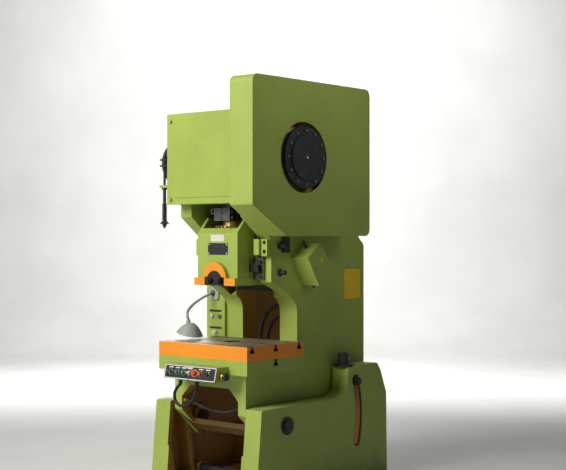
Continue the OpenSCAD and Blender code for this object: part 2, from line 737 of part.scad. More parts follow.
module backshaft() {
  color(steel) {
    bar_x(shaft_r - fit, wheel_x0 - 6, gear_x1 + 10, shaft_y, crank_z);
    bar_x(shaft_r + 12, wheel_x1 + 1, -side_x - 40, shaft_y, crank_z);
    bar_x(shaft_r + 12, side_x + 40, gear_x0 - 1, shaft_y, crank_z);
  }
}

module pinion() {
  color(steel) difference() {
    along_x(gear_x0, gear_x1) translate([shaft_y, crank_z]) gear_outline(pinion_teeth, 180 + 180 / pinion_teeth);
    bar_x(shaft_r, gear_x0 - 1, gear_x1 + 1, shaft_y, crank_z);
  }
}

module backshaft_housings() {
  color(green) both_sides() difference() {
    union() {
      bar_x(housing_r - fit, side_x - 30, side_x + 20, shaft_y, crank_z);
      bar_x(housing_r + 32, side_x, side_x + 24, shaft_y, crank_z);
      bar_x(housing_r - 4, side_x + 24, side_x + 36, shaft_y, crank_z);
      for (a = [30 : 60 : 359]) translate([side_x + 24, shaft_y + (housing_r + 16) * cos(a),
        crank_z + (housing_r + 16) * sin(a)]) rotate([0, 90, 0]) hex(22, 9);
    }
    bar_x(shaft_r, side_x - 40, side_x + 50, shaft_y, crank_z);
  }
}

// A grooved rim section, from the outside radius r, for a wheel between x0 and x1
module grooved(r, x0, x1, y) {
  translate([x0, y, 0]) rotate([0, 90, 0]) rotate_extrude($fn = 96) difference() {
    square([r, x1 - x0]);
    for (x = belt_x) translate([r, x - x0]) polygon([[1, -9], [-15, -5.5], [-15, 5.5], [1, 9]]);
  }
}

module flywheel() {
  color(black) difference() {
    translate([0, 0, crank_z]) grooved(flywheel_r, wheel_x0, wheel_x1, shaft_y);
    difference() {
      union() {
        bar_x(flywheel_r - 70, wheel_x0 - 1, wheel_x0 + 36, shaft_y, crank_z);
        bar_x(flywheel_r - 70, wheel_x1 - 36, wheel_x1 + 1, shaft_y, crank_z);
      }
      bar_x(95, wheel_x0 - 2, wheel_x1 + 2, shaft_y, crank_z);
    }
    bar_x(shaft_r, wheel_x0 - 2, wheel_x1 + 2, shaft_y, crank_z);
  }
}

// Motor on a sloping plate at the back of the head
motor_up = 132;
mount_t = 24;
pad_t = 32;
slope = atan2(slope_high.y - slope_low.y, slope_low.x - slope_high.x);
slope_dir = [-cos(slope), sin(slope)];
slope_out = [sin(slope), cos(slope)];
motor_at = slope_low + 330 * slope_dir + (motor_up + mount_t + pad_t) * slope_out;

// Places its children with +Z square to the slope and the motor's axis at the origin
module motor_frame() {
  translate([0, motor_at.x, motor_at.y]) rotate([-slope, 0, 0]) children();
}

module motor() {
  color(green) motor_frame() {
    rotate([0, 90, 0]) translate([0, 0, -330]) cylinder(r = 108, h = 330);
    for (i = [0 : 23]) rotate([i * 15, 0, 0]) block([-310, 100, -3], [-20, 122, 3]);
    rotate([0, 90, 0]) translate([0, 0, -342]) cylinder(r = 124, h = 26);
    rotate([0, 90, 0]) translate([0, 0, -24]) cylinder(r = 124, h = 24);
    rotate([0, 90, 0]) translate([0, 0, -1]) cylinder(r = 116, h = 60);
    rotate([0, 90, 0]) translate([0, 0, wheel_x0]) cylinder(r = 19, h = 240);
    for (x = [-270, -80]) block([x, -110, -motor_up], [x + 50, 110, -90]);
    block([-220, -60, 100], [-110, 60, 165]);
  }
}

module motor_pulley() {
  color(black) motor_frame() difference() {
    grooved(pulley_r, wheel_x0, wheel_x1, 0);
    rotate([0, 90, 0]) translate([0, 0, wheel_x0 - 1]) cylinder(r = 19 + fit, h = 300);
  }
}

module motor_mount() {
  color(green) motor_frame() {
    block([-300, -170, -motor_up - mount_t], [190, 170, -motor_up]);
    for (x = [-250, 140]) for (y = [-140, 140]) translate([x, y, -motor_up]) hex(30, 18);
  }
}

// V-belts: straight runs tangent to the flywheel and the pulley
module v_belts() {
  centre = [shaft_y, crank_z];
  span = motor_at - centre;
  far = norm(span);
  tilt = atan2(span.y, span.x);
  color(black) for (x = belt_x) along_x(x - belt_w / 2, x + belt_w / 2) translate(centre) rotate(tilt) difference() {
    belt_line(flywheel_r + 1, pulley_r + 1, far);
    belt_line(flywheel_r - 8, pulley_r - 8, far);
  }
}

module belt_line(r1, r2, far) {
  b = acos((r1 - r2) / far);
  polygon([for (i = [0 : 40]) let (a = b + (360 - 2 * b) * i / 40) r1 * [cos(a), sin(a)],
    for (i = [0 : 20]) let (a = -b + 2 * b * i / 20) [far, 0] + r2 * [cos(a), sin(a)]]);
}

// Gear guard: a deep sheet box with a round sight hole
guard_x0 = side_x + 121;
guard_x1 = side_x + 326;
guard_front_y = -912;
guard_back_y = 351;
guard_low_z = 1784;
guard_lip_z = guard_low_z + 206;
guard_lip_y = guard_front_y + 337;
guard_points = [[guard_front_y, guard_lip_z, 18], [guard_lip_y, guard_low_z, 18], [guard_back_y, guard_low_z, 50],
  [guard_back_y, guard_top_z, 50], [guard_front_y, guard_top_z, 50]];
guard_room = [[guard_front_y + sheet_t, guard_lip_z + sheet_t / 2, 14], [guard_lip_y + sheet_t / 2, guard_low_z + sheet_t, 14],
  [guard_back_y - sheet_t, guard_low_z + sheet_t, 46], [guard_back_y - sheet_t, guard_top_z - sheet_t, 46],
  [guard_front_y + sheet_t, guard_top_z - sheet_t, 46]];

module gear_guard() {
  color(green) difference() {
    along_x(guard_x0 + sheet_t, guard_x1) polygon(rounded(guard_points));
    along_x(guard_x0, guard_x1 - sheet_t) polygon(rounded(guard_room));
    bar_x(guard_hole_r, guard_x0, guard_x1 + 1, ram_y, crank_z);
  }
}

// Back plate of the guard and its four stand-offs on the frame
module guard_back() {
  color(green) difference() {
    union() {
      along_x(guard_x0, guard_x0 + sheet_t) polygon(rounded(guard_points));
      for (p = [[-500, 2060], [-500, 2560], [90, 2540], [330, 1960]])
        bar_x(20, side_x, guard_x0 + 1, p.x, p.y);
    }
    bar_x(150, guard_x0 - 1, guard_x1, ram_y, crank_z);
    bar_x(shaft_r + 30, guard_x0 - 1, guard_x1, shaft_y, crank_z);
  }
}

// Cover over the crank, with a raised panel
cover_front_y = -700;
cover_z0 = 2009;
cover_z1 = 2652;
module crank_cover() {
  mid_z = (cover_z0 + cover_z1) / 2;
  color(green) {
    difference() {
      block([-side_x, cover_front_y, cover_z0], [side_x, head_front_y - seat, cover_z1]);
      block([-side_x + sheet_t, cover_front_y + sheet_t, cover_z0 + sheet_t],
        [side_x - sheet_t, head_front_y + 10, cover_z1 - sheet_t]);
    }
    translate([0, cover_front_y + 1, mid_z]) rotate([90, 0, 0])
      linear_extrude(5) round_rect(frame_w - 104, cover_z1 - cover_z0 - 92, 30);
    for (z = [cover_z0 + 36, cover_z1 - 54]) translate([-side_x + 38, cover_front_y + 1, z])
      rotate([90, 0, 0]) cylinder(r = 13, h = 16);
  }
}

// Brake on the left end of the crankshaft
module brake_drum() {
  color(black) difference() {
    bar_x(drum_r, -drum_x1, -drum_x0, ram_y, crank_z);
    bar_x(drum_r - 26, -drum_x1 - 1, -drum_x1 + 34, ram_y, crank_z);
    bar_x(drum_seat_r + fit, -drum_x1 - 1, -drum_x0 + 1, ram_y, crank_z);
  }
}

module brake_band() {
  gap = 16;
  color(black) difference() {
    union() {
      bar_x(drum_r + 10, -drum_x1 + 20, -drum_x0 - 20, ram_y, crank_z);
      for (s = [-1, 1]) translate([-drum_x1 + 20, ram_y - drum_r - 40, crank_z + s * (gap + 6) - 6])
        cube([drum_x1 - drum_x0 - 40, 50, 12]);
    }
    bar_x(drum_r + seat, -drum_x1, -drum_x0, ram_y, crank_z);
    block([-drum_x1, ram_y - drum_r - 60, crank_z - gap], [-drum_x0, ram_y - drum_r + 60, crank_z + gap]);
    translate([rod_x, brake_y, crank_z - 60]) cylinder(r = 9.5, h = 120);
  }
}

rod_x = -side_x - 158;
brake_y = ram_y - drum_r - 25;
bracket_z = 2135;
module brake_bracket() {
  color(green) difference() {
    union() {
      block([rod_x - 26, brake_y - 26, bracket_z], [-side_x, brake_y + 40, bracket_z + 20]);
      block([-side_x - 12, head_front_y + 4, bracket_z - 60], [-side_x, brake_y + 80, bracket_z + 37]);
    }
    translate([rod_x, brake_y, bracket_z - 1]) cylinder(r = 12, h = 30);
  }
}

module brake_rod() {
  low = 1842;
  spring_low = low + 50;
  color(black) translate([rod_x, brake_y, 0]) {
    translate([0, 0, low]) cylinder(r = 9, h = crank_z + 60 - low);
    translate([0, 0, low + 14]) cylinder(r = 16, h = 16);
    translate([0, 0, low + 30]) cylinder(r1 = 36, r2 = 20, h = 20);
    // Core of the spring, its upper collar and the sleeve up to the bracket
    translate([0, 0, spring_low]) cylinder(r = 12, h = 120);
    translate([0, 0, spring_low + 120]) cylinder(r = 19, h = 8);
    translate([0, 0, spring_low + 128]) cylinder(r = 12, h = bracket_z - 12 - seat - spring_low - 128);
    translate([0, 0, bracket_z - 12 - seat]) cylinder(r = 20, h = 12);
    translate([0, 0, crank_z + 30]) cylinder(r = 18, h = 14);
  }
}

// Box over the clutch's solenoid, hung on the right side at a slant
module clutch_box() {
  long = 240;
  wide = 188;
  deep = 150;
  color(green) translate([side_x, 1, 1580]) rotate([32.4, 0, 0]) difference() {
    union() {
      translate([0, -wide / 2, -long / 2]) cube([deep, wide, long]);
      translate([0, -wide / 2 - 14, -long / 2]) cube([5, wide + 28, long]);
      bar_x(9, 40, 58, 30, long / 2 + 20);
      translate([49, 30, long / 2 - 1]) cylinder(r = 10, h = 60);
      translate([60, -60, -long / 2 - 40]) cylinder(r = 8, h = 41);
    }
    translate([-1, -wide / 2 + 4, -long / 2 + 4]) cube([deep - 3, wide - 8, long - 8]);
    for (y = [-1, 1]) bar_x(5, deep - 10, deep + 1, y * 60, 0);
  }
}

// Switch box on the left column
box_x0 = -534;
box_x1 = -side_x;
box_y = -104;
box_z0 = 1012;
box_z1 = 1442;
side_button_at = [-398, box_y, 1180];
side_lamp_at = [-474, box_y, 1180];
rotary_at = [-446, box_y, 1054];
lamp_at = [-445, box_y, 1353];
module switch_box() {
  color(green) difference() {
    union() {
      translate([(box_x0 + box_x1) / 2, box_y + 120, (box_z0 + box_z1) / 2]) rotate([90, 0, 0])
        linear_extrude(120) round_rect(box_x1 - box_x0, box_z1 - box_z0, 8);
      // Pilot lamp and the buttons' collars
      translate(side_lamp_at + [0, 1, 0]) rotate([90, 0, 0]) cylinder(r = 15, h = 12);
      translate(side_button_at + [0, 1, 0]) rotate([90, 0, 0]) cylinder(r = 19, h = 6);
      translate(rotary_at + [0, 1, 0]) rotate([90, 0, 0]) linear_extrude(5) round_rect(48, 44, 4);
    }
    translate(side_button_at + [0, 40, 0]) rotate([90, 0, 0]) cylinder(r = 14 + seat, h = 60);
    translate(rotary_at + [0, 40, 0]) rotate([90, 0, 0]) cylinder(r = 8 + seat, h = 60);
  }
}

// A push button with its stem, pressed along -Z of its own frame
module push_button(cap, high, stem) {
  translate([0, 0, button_travel + 1]) cylinder(r = cap, h = high);
  translate([0, 0, -30]) cylinder(r = stem, h = 32 + button_travel);
}

module side_button() {
  color("#208040") translate(side_button_at + [0, -5, 0]) rotate([90, 0, 0]) push_button(14, 6, 14);
}

module selector(r, stem) {
  translate([0, 0, seat]) cylinder(r = r, h = 8);
  translate([-r, -4, 8]) cube([2 * r, 8, 12]);
  translate([0, 0, -30]) cylinder(r = stem, h = 31);
}

module side_rotary() {
  color(grey) translate(rotary_at + [0, -4, 0]) rotate([90, 0, 0]) selector(16, 8);
}

// Work lamp on a gooseneck
lamp_points = [[-458, -124, 1352], [-461, -150, 1347], [-477, -210, 1320], [-484, -275, 1288],
  [-474, -340, 1255], [-448, -395, 1226], [-414, -432, 1202], [-394, -448, 1186], [-386, -450, 1168.3]];
neck_at = [-386, -450, 1168];
shade_at = [-356, -450, 1128];
shade_lean = 14;
module lamp_arm() {
  color(grey) {
    translate(lamp_at) rotate([90, 0, 0]) linear_extrude(14) round_rect(84, 104, 20);
    translate([lamp_points[0].x, box_y - 13, lamp_points[0].z]) rotate([90, 0, 0]) cylinder(r1 = 22, r2 = 14, h = 16);
    tube(lamp_points, 9, 10, 3, [1, 0, 0]);
  }
}

// Spun shade: its bowl in steps of radius and depth, with the lampholder's neck on its side
shade_deep = 58;
module lamp_shade() {
  inner_r = 38;
  wall = 3;
  step = (shade_r - inner_r) / 6;
  color(grey) {
    translate(shade_at) rotate([0, shade_lean, 0]) rotate_extrude($fn = 48) polygon(concat(
      [[0, 24], [16, 22]], [for (i = [0 : 6]) [inner_r + step * i, 10 - (shade_deep + 10) * pow(i / 6, 1.4)]],
      [for (i = [6 : -1 : 0]) [inner_r + step * i - wall, 6 - (shade_deep + 7) * pow(i / 6, 1.4)]], [[0, 18]]));
    translate(neck_at - [0, 0, 30]) cylinder(r = 16, h = 30);
  }
}

// Front control box: a sloping face with a raised bright frame
panel_x = 4;
panel_z = 838;
panel_y = -816;
panel_tilt = 13;
panel_back = bed_front_y - seat;
// Places its children on the face: x along it, y up it, z out of it
module on_face(x) {
  translate([panel_x + x, panel_y, panel_z]) rotate([90 - panel_tilt, 0, 0]) children();
}

control_xs = [-192, -128, -66, -8, 46, 98, 166];
module control_box() {
  drop = panel_h / 2 * cos(panel_tilt);
  lean = panel_h / 2 * sin(panel_tilt);
  color(green) difference() {
    union() {
      along_x(panel_x - panel_w / 2, panel_x + panel_w / 2) polygon([[panel_y + lean, panel_z + drop],
        [panel_y - lean, panel_z - drop], [panel_back, panel_z - drop + 14], [panel_back, panel_z + drop]]);
      on_face(0) translate([0, 0, -2]) linear_extrude(7) difference() {
        round_rect(panel_w - 4, panel_h - 4, 8);
        round_rect(panel_w - 20, panel_h - 20, 5);
      }
      for (x = control_xs) on_face(x) translate([0, 0, -2]) cylinder(r = 17, h = 7);
      for (s = [-1, 1]) bar_x(26, s < 0 ? panel_x - panel_w / 2 - 22 : panel_x + panel_w / 2 - 1,
        s < 0 ? panel_x - panel_w / 2 + 1 : panel_x + panel_w / 2 + 22, palm_y, palm_z);
      for (x = cable_xs) translate([x, cable_y, cable_z]) cylinder(r = 16, h = 26);
    }
    for (x = control_xs) on_face(x) translate([0, 0, -34]) cylinder(r = 10 + seat, h = 50);
    for (s = [-1, 1]) bar_x(16 + seat, panel_x + s * panel_w / 2 - 40, panel_x + s * panel_w / 2 + 40, palm_y, palm_z);
  }
}

module key_selector() {
  color(steel) on_face(control_xs[0]) translate([0, 0, 5]) selector(15, 10);
}

module run_button_left() {
  color("#3f9060") on_face(control_xs[1]) translate([0, 0, 5]) push_button(13, 7, 10);
}

module run_button_right() {
  color("#3f9060") on_face(control_xs[2]) translate([0, 0, 5]) push_button(13, 7, 10);
}

module mode_selector() {
  color("white") on_face(control_xs[3]) translate([0, 0, 5]) selector(13, 10);
}

module stop_button() {
  color("#e04028") on_face(control_xs[4]) translate([0, 0, 5]) {
    push_button(20, 12, 10);
    translate([0, 0, button_travel + 9]) cylinder(r1 = 20, r2 = 15, h = 9);
  }
}

module off_button() {
  color("#e04028") on_face(control_xs[5]) translate([0, 0, 5]) push_button(14, 8, 10);
}

module inch_button() {
  color(black) on_face(control_xs[6]) translate([0, 0, 5]) push_button(16, 8, 10);
}

palm_y = -758;
palm_z = 825;
module palm_button() {
  translate([panel_x + panel_w / 2 + 22, palm_y, palm_z]) rotate([0, 90, 0]) {
    push_button(24, 14, 16);
    translate([0, 0, button_travel + 14]) cylinder(r1 = 24, r2 = 16, h = 9);
  }
}

module palm_button_right() {
  color(black) palm_button();
}

module palm_button_left() {
  color(black) translate([2 * panel_x, 0, 0]) mirror([1, 0, 0]) palm_button();
}

// Cables: a loop under the control box, and a run across the arch between two glands
cable_xs = [-170, -10];
cable_y = -740;
cable_z = panel_z - panel_h / 2 * cos(panel_tilt) - 16;
loop_points = [[cable_xs[0], cable_y, cable_z], [-172, -740, 745], [-205, -738, 715], [-236, -734, 672],
  [-234, -730, 624], [-198, -728, 592], [-150, -728, 586], [-100, -728, 608], [-55, -730, 645],
  [-24, -734, 695], [-12, -739, 740], [cable_xs[1], cable_y, cable_z]];
arch_x = 275;
arch_points = [[-arch_x + 16, -592, 608], [-232, -592, 606], [-150, -594, 588], [-60, -596, 566],
  [50, -598, 552], [150, -596, 558], [232, -592, 584], [arch_x - 16, -592, 586]];
module loop_cable() {
  color(black) tube(loop_points, 11, 10, 2, [0, 1, 0]);
}

module arch_cable() {
  color(black) tube(arch_points, 11, 10, 2, [0, 1, 0]);
}

// Two air hoses in the throat, each from a gland in the right column down to one behind the bolster
hose_high = [[column_gap / 2 - 26, -10, 1290], [130, -10, 1285], [60, -8, 1262], [0, -4, 1225], [-50, 2, 1165],
  [-80, 8, 1100], [-92, 12, 1040], [-95, 14, 1000], [-95, 14, bed_z + 16]];
hose_low = [[column_gap / 2 - 26, 30, 1205], [130, 30, 1203], [75, 32, 1190], [20, 36, 1160], [-20, 40, 1110],
  [-44, 42, 1050], [-50, 44, 1000], [-50, 44, bed_z + 16]];
module throat_hose_upper() {
  color(black) tube(hose_high, 15, 10, 2, [0, 1, 0]);
}

module throat_hose_lower() {
  color(black) tube(hose_low, 15, 10, 2, [0, 1, 0]);
}

// Glands on the frame that these cords end in
module frame_glands() {
  for (p = [hose_high, hose_low]) {
    bar_x(21, p[0].x, column_gap / 2 + 1, p[0].y, p[0].z);
    translate([p[len(p) - 1].x, p[len(p) - 1].y, bed_z - 1]) cylinder(r = 21, h = 17);
  }
  for (p = [arch_points[0], arch_points[len(arch_points) - 1]]) {
    out = sign(p.x) * (arch_x + 1);
    bar_x(17, min(p.x, out), max(p.x, out), p.y, p.z);
  }
}

leg_left();
leg_right();
leg_tie_rods();
pivot_pins();
slot_rims();
tilt_lock_nuts();
c_frame();
slot_bolts();
bolster_plate();
crank_bushes();
gib_left();
gib_right();
gib_screws();
knockout_stops();
crankshaft();
brake_drum();
connecting_rod();
rod_cap();
adjusting_screw();
ratchet_ring();
slide_body();
shank_clamp();
clamp_nuts();
knockout_bar();
main_gear();
clutch_cap();
backshaft();
pinion();
flywheel();
backshaft_housings();
motor();
motor_pulley();
motor_mount();
v_belts();
gear_guard();
guard_back();
crank_cover();
brake_band();
brake_bracket();
brake_rod();
clutch_box();
switch_box();
side_button();
side_rotary();
lamp_arm();
lamp_shade();
control_box();
key_selector();
run_button_left();
run_button_right();
mode_selector();
stop_button();
off_button();
inch_button();
palm_button_left();
palm_button_right();
loop_cable();
arch_cable();
throat_hose_upper();
throat_hose_lower();
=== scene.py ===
"""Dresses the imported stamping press: paint, metals, fittings, cables, floor, light and camera."""

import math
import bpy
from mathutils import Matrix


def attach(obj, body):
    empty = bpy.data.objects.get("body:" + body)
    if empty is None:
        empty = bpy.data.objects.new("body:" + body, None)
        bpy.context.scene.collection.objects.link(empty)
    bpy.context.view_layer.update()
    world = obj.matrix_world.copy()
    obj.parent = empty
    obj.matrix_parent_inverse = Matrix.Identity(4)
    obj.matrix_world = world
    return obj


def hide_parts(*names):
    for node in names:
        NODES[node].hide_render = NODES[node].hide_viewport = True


bl_info = {
    "name": "Stamping press dressing",
    "version": (1, 0, 0),
    "blender": (4, 5, 0),
    "location": "View3D > Sidebar > Press",
    "description": "Finishes, fittings, cables, stage and camera of an inclinable stamping press",
    "category": "Object",
}

import bmesh
import bpy
import numpy as np
from mathutils import Matrix, Vector

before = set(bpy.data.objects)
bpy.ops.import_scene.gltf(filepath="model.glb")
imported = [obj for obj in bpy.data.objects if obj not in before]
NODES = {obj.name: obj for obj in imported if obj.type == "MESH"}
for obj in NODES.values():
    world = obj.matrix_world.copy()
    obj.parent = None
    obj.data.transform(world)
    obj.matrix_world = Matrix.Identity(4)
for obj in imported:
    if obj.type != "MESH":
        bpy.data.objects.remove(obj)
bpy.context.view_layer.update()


# Colours and node trees


def colour(red, green, blue):
    """A paint colour given on the 0 to 255 scale of a screen, as linear light."""
    linear = [
        c / 12.92 if c <= 0.04045 else ((c + 0.055) / 1.055) ** 2.4
        for c in (red / 255, green / 255, blue / 255)
    ]
    return (*linear, 1.0)


COAT_ROUGHNESS = 0.18
DUST = (150, 148, 122)
RUST = (92, 70, 44)


class Tree:
    """A node tree under construction."""

    def __init__(self, tree):
        self.tree = tree

    def join(self, source, target):
        self.tree.links.new(source, target)

    def put(self, value, socket):
        """Links an output, or sets a plain value."""
        if isinstance(value, bpy.types.NodeSocket):
            self.join(value, socket)
        else:
            socket.default_value = value

    def node(self, kind, inputs=None, **settings):
        """A new node with its settings, and with its inputs linked or set."""
        node = self.tree.nodes.new(kind)
        for name, value in settings.items():
            setattr(node, name, value)
        for name, value in (inputs or {}).items():
            self.put(value, node.inputs[name])
        return node


class Finish(Tree):
    """A material under construction, with short calls for its nodes."""

    def __init__(self, name):
        self.material = bpy.data.materials.new(name)
        self.material.use_nodes = True
        super().__init__(self.material.node_tree)
        self.tree.nodes.clear()
        self.shader = self.node("ShaderNodeBsdfPrincipled")
        self.node("ShaderNodeOutputMaterial", {"Surface": self.shader.outputs[0]})
        self.place = self.node("ShaderNodeTexCoord").outputs["Object"]

    def math(self, kind, a, b):
        return self.node("ShaderNodeMath", {0: a, 1: b}, operation=kind).outputs[0]

    def mix(self, share, a, b):
        """The colour a, turning into b as share goes from 0 to 1."""
        return self.node("ShaderNodeMix", {0: share, 6: a, 7: b}, data_type="RGBA").outputs[2]

    def stretch(self, scale):
        """The object's coordinates, scaled along each axis."""
        return self.node("ShaderNodeMapping", {"Vector": self.place, "Scale": scale}).outputs[0]

    def noise(self, scale, detail=3.0, rough=0.55, place=None, warp=0.0):
        inputs = {
            "Vector": place or self.place,
            "Scale": scale,
            "Detail": detail,
            "Roughness": rough,
            "Distortion": warp,
        }
        return self.node("ShaderNodeTexNoise", inputs).outputs[0]

    def ramp(self, value, low, high, to_low=0.0, to_high=1.0):
        """A value between two limits, spread smoothly over a new range."""
        inputs = {
            "Value": value,
            "From Min": low,
            "From Max": high,
            "To Min": to_low,
            "To Max": to_high,
        }
        node = self.node("ShaderNodeMapRange", inputs, interpolation_type="SMOOTHSTEP")
        return node.outputs[0]

    def part(self, vector, axis):
        """One component of a vector."""
        return self.node("ShaderNodeSeparateXYZ", {0: vector}).outputs[axis]

    def facing(self, axis):
        """How far the surface faces along an axis, from -1 to 1."""
        return self.part(self.node("ShaderNodeNewGeometry").outputs["Normal"], axis)

    def distance(self, centre):
        """How far the surface is from a point of its object."""
        inputs = {0: self.place, 1: centre}
        return self.node("ShaderNodeVectorMath", inputs, operation="DISTANCE").outputs["Value"]

    def camera_ray(self):
        """1 for what the camera sees itself, 0 for everything else."""
        return self.node("ShaderNodeLightPath").outputs["Is Camera Ray"]

    def rounded(self, radius):
        """The normal, as if every edge were rounded to this radius."""
        return self.node("ShaderNodeBevel", {"Radius": radius}, samples=4).outputs[0]

    def bump(self, height, depth, strength, normal=None):
        inputs = {"Strength": strength, "Distance": depth, "Height": height}
        if normal is not None:
            inputs["Normal"] = normal
        return self.node("ShaderNodeBump", inputs).outputs[0]

    def done(self, base, rough, metal=0.0, normal=None, coat=0.0, specular=None):
        """The material, with these values and links in its shader."""
        inputs = {
            "Base Color": base,
            "Roughness": rough,
            "Metallic": metal,
            "Coat Weight": coat,
            "Coat Roughness": COAT_ROUGHNESS,
            "Specular IOR Level": specular,
            "Normal": normal,
        }
        for name, value in inputs.items():
            if value is not None:
                self.put(value, self.shader.inputs[name])
        return self.material


def enamel(name, paint, shade, cast=0.0, rough=0.42, dusty=0.35, edge=0.0025, stain=0.2):
    """Sprayed machine paint: uneven tone, slight waves, the casting's grain, dust on top faces."""
    f = Finish(name)
    patches = f.ramp(f.noise(2.6, 4, 0.6), 0.35, 0.7)
    base = f.mix(patches, colour(*paint), colour(*[c * 0.95 for c in paint]))
    stains = f.ramp(f.noise(9, 6, 0.7, f.stretch((1, 1, 0.3)), 0.6), 0.56, 0.74)
    base = f.mix(f.math("MULTIPLY", stains, stain), base, colour(*shade))
    low = f.ramp(f.part(f.place, 2), 0.16, 0.0, 0.0, 0.35)
    scuffs = f.math("MULTIPLY", low, f.noise(18, 4))
    base = f.mix(scuffs, base, colour(*[c * 0.7 for c in shade]))
    up = f.ramp(f.facing(2), 0.75, 0.98)
    drifts = f.ramp(f.noise(7, 6, 0.7), 0.3, 0.7)
    dust = f.math("MULTIPLY", f.math("MULTIPLY", up, dusty), drifts)
    base = f.mix(dust, base, colour(*DUST))
    gloss = f.ramp(f.noise(24, 3), 0.3, 0.7, rough - 0.05, rough + 0.07)
    waves = f.math("MULTIPLY", f.noise(13, 2), 0.5)
    skin = f.math("MULTIPLY", f.noise(420, 2), 0.05)
    grain = f.math("MULTIPLY", f.noise(120, 4, 0.65), cast)
    height = f.math("ADD", f.math("ADD", waves, skin), grain)
    normal = f.bump(height, 0.0016, 0.5, f.rounded(edge))
    return f.done(base, f.math("ADD", gloss, dust), normal=normal, specular=0.45)


def steel(name, tone=(150, 150, 148), rough=0.32, turned=False, oil=0.0, metal=1.0):
    """Machined steel: fine tool marks, patches of oil or light rust."""
    f = Finish(name)
    marks = f.noise(90, 3, 0.6, f.stretch((0.05, 1, 1) if turned else (1, 1, 0.06)))
    base = f.mix(marks, colour(*tone), colour(*[c * 0.8 for c in tone]))
    patches = f.ramp(f.noise(14, 5, 0.65), 0.5, 0.72)
    base = f.mix(f.math("MULTIPLY", patches, oil), base, colour(*RUST))
    shine = f.ramp(f.noise(30, 4), 0.3, 0.7, rough - 0.06, rough + 0.12)
    return f.done(base, shine, metal=metal, normal=f.bump(marks, 0.0003, 0.4, f.rounded(0.001)))


def black_metal(name, tone=(34, 35, 38), rough=0.38, cast=0.2):
    """Blackened or black cast metal, a little dusty on top."""
    f = Finish(name)
    patches = f.ramp(f.noise(11, 5, 0.6), 0.4, 0.75)
    base = f.mix(patches, colour(*tone), colour(*[c * 1.35 + 4 for c in tone]))
    up = f.ramp(f.facing(2), 0.7, 1.0, 0.0, 0.2)
    base = f.mix(f.math("MULTIPLY", up, f.noise(20)), base, colour(120, 112, 96))
    height = f.math("ADD", f.math("MULTIPLY", f.noise(150, 3), cast), f.noise(12, 2))
    shine = f.ramp(f.noise(40, 3), 0.3, 0.7, rough - 0.06, rough + 0.12)
    return f.done(base, shine, normal=f.bump(height, 0.0008, 0.35, f.rounded(0.0012)))


def plastic(name, tone, rough=0.3, coat=0.3, grain=0.15):
    """Moulded plastic or milk glass with a thin clear skin."""
    f = Finish(name)
    patches = f.ramp(f.noise(70, 3), 0.35, 0.7)
    base = f.mix(patches, colour(*tone), colour(*[c * 0.88 for c in tone]))
    height = f.math("MULTIPLY", f.noise(900, 2), grain)
    shine = f.ramp(f.noise(120, 3), 0.3, 0.7, rough - 0.04, rough + 0.1)
    return f.done(base, shine, normal=f.bump(height, 0.0002, 0.4, f.rounded(0.0008)), coat=coat)


def rubber(name):
    """Black rubber, greyed in patches."""
    f = Finish(name)
    base = f.mix(f.ramp(f.noise(60, 4), 0.4, 0.8), colour(22, 22, 23), colour(46, 45, 42))
    shine = f.ramp(f.noise(25), 0.3, 0.7, 0.5, 0.68)
    return f.done(base, shine, normal=f.bump(f.noise(600, 3), 0.0003, 0.3))


def label(name, tone, border, rough=0.35):
    """A plate without words: a face with faint streaks."""
    f = Finish(name)
    streaks = f.noise(40, 3, 0.6, f.stretch((0.1, 0.1, 1)))
    base = f.mix(f.ramp(streaks, 0.4, 0.8, 0.0, 0.5), colour(*tone), colour(*border))
    return f.done(base, f.ramp(f.noise(30), 0.3, 0.7, rough, rough + 0.15))


FINISHES = {}


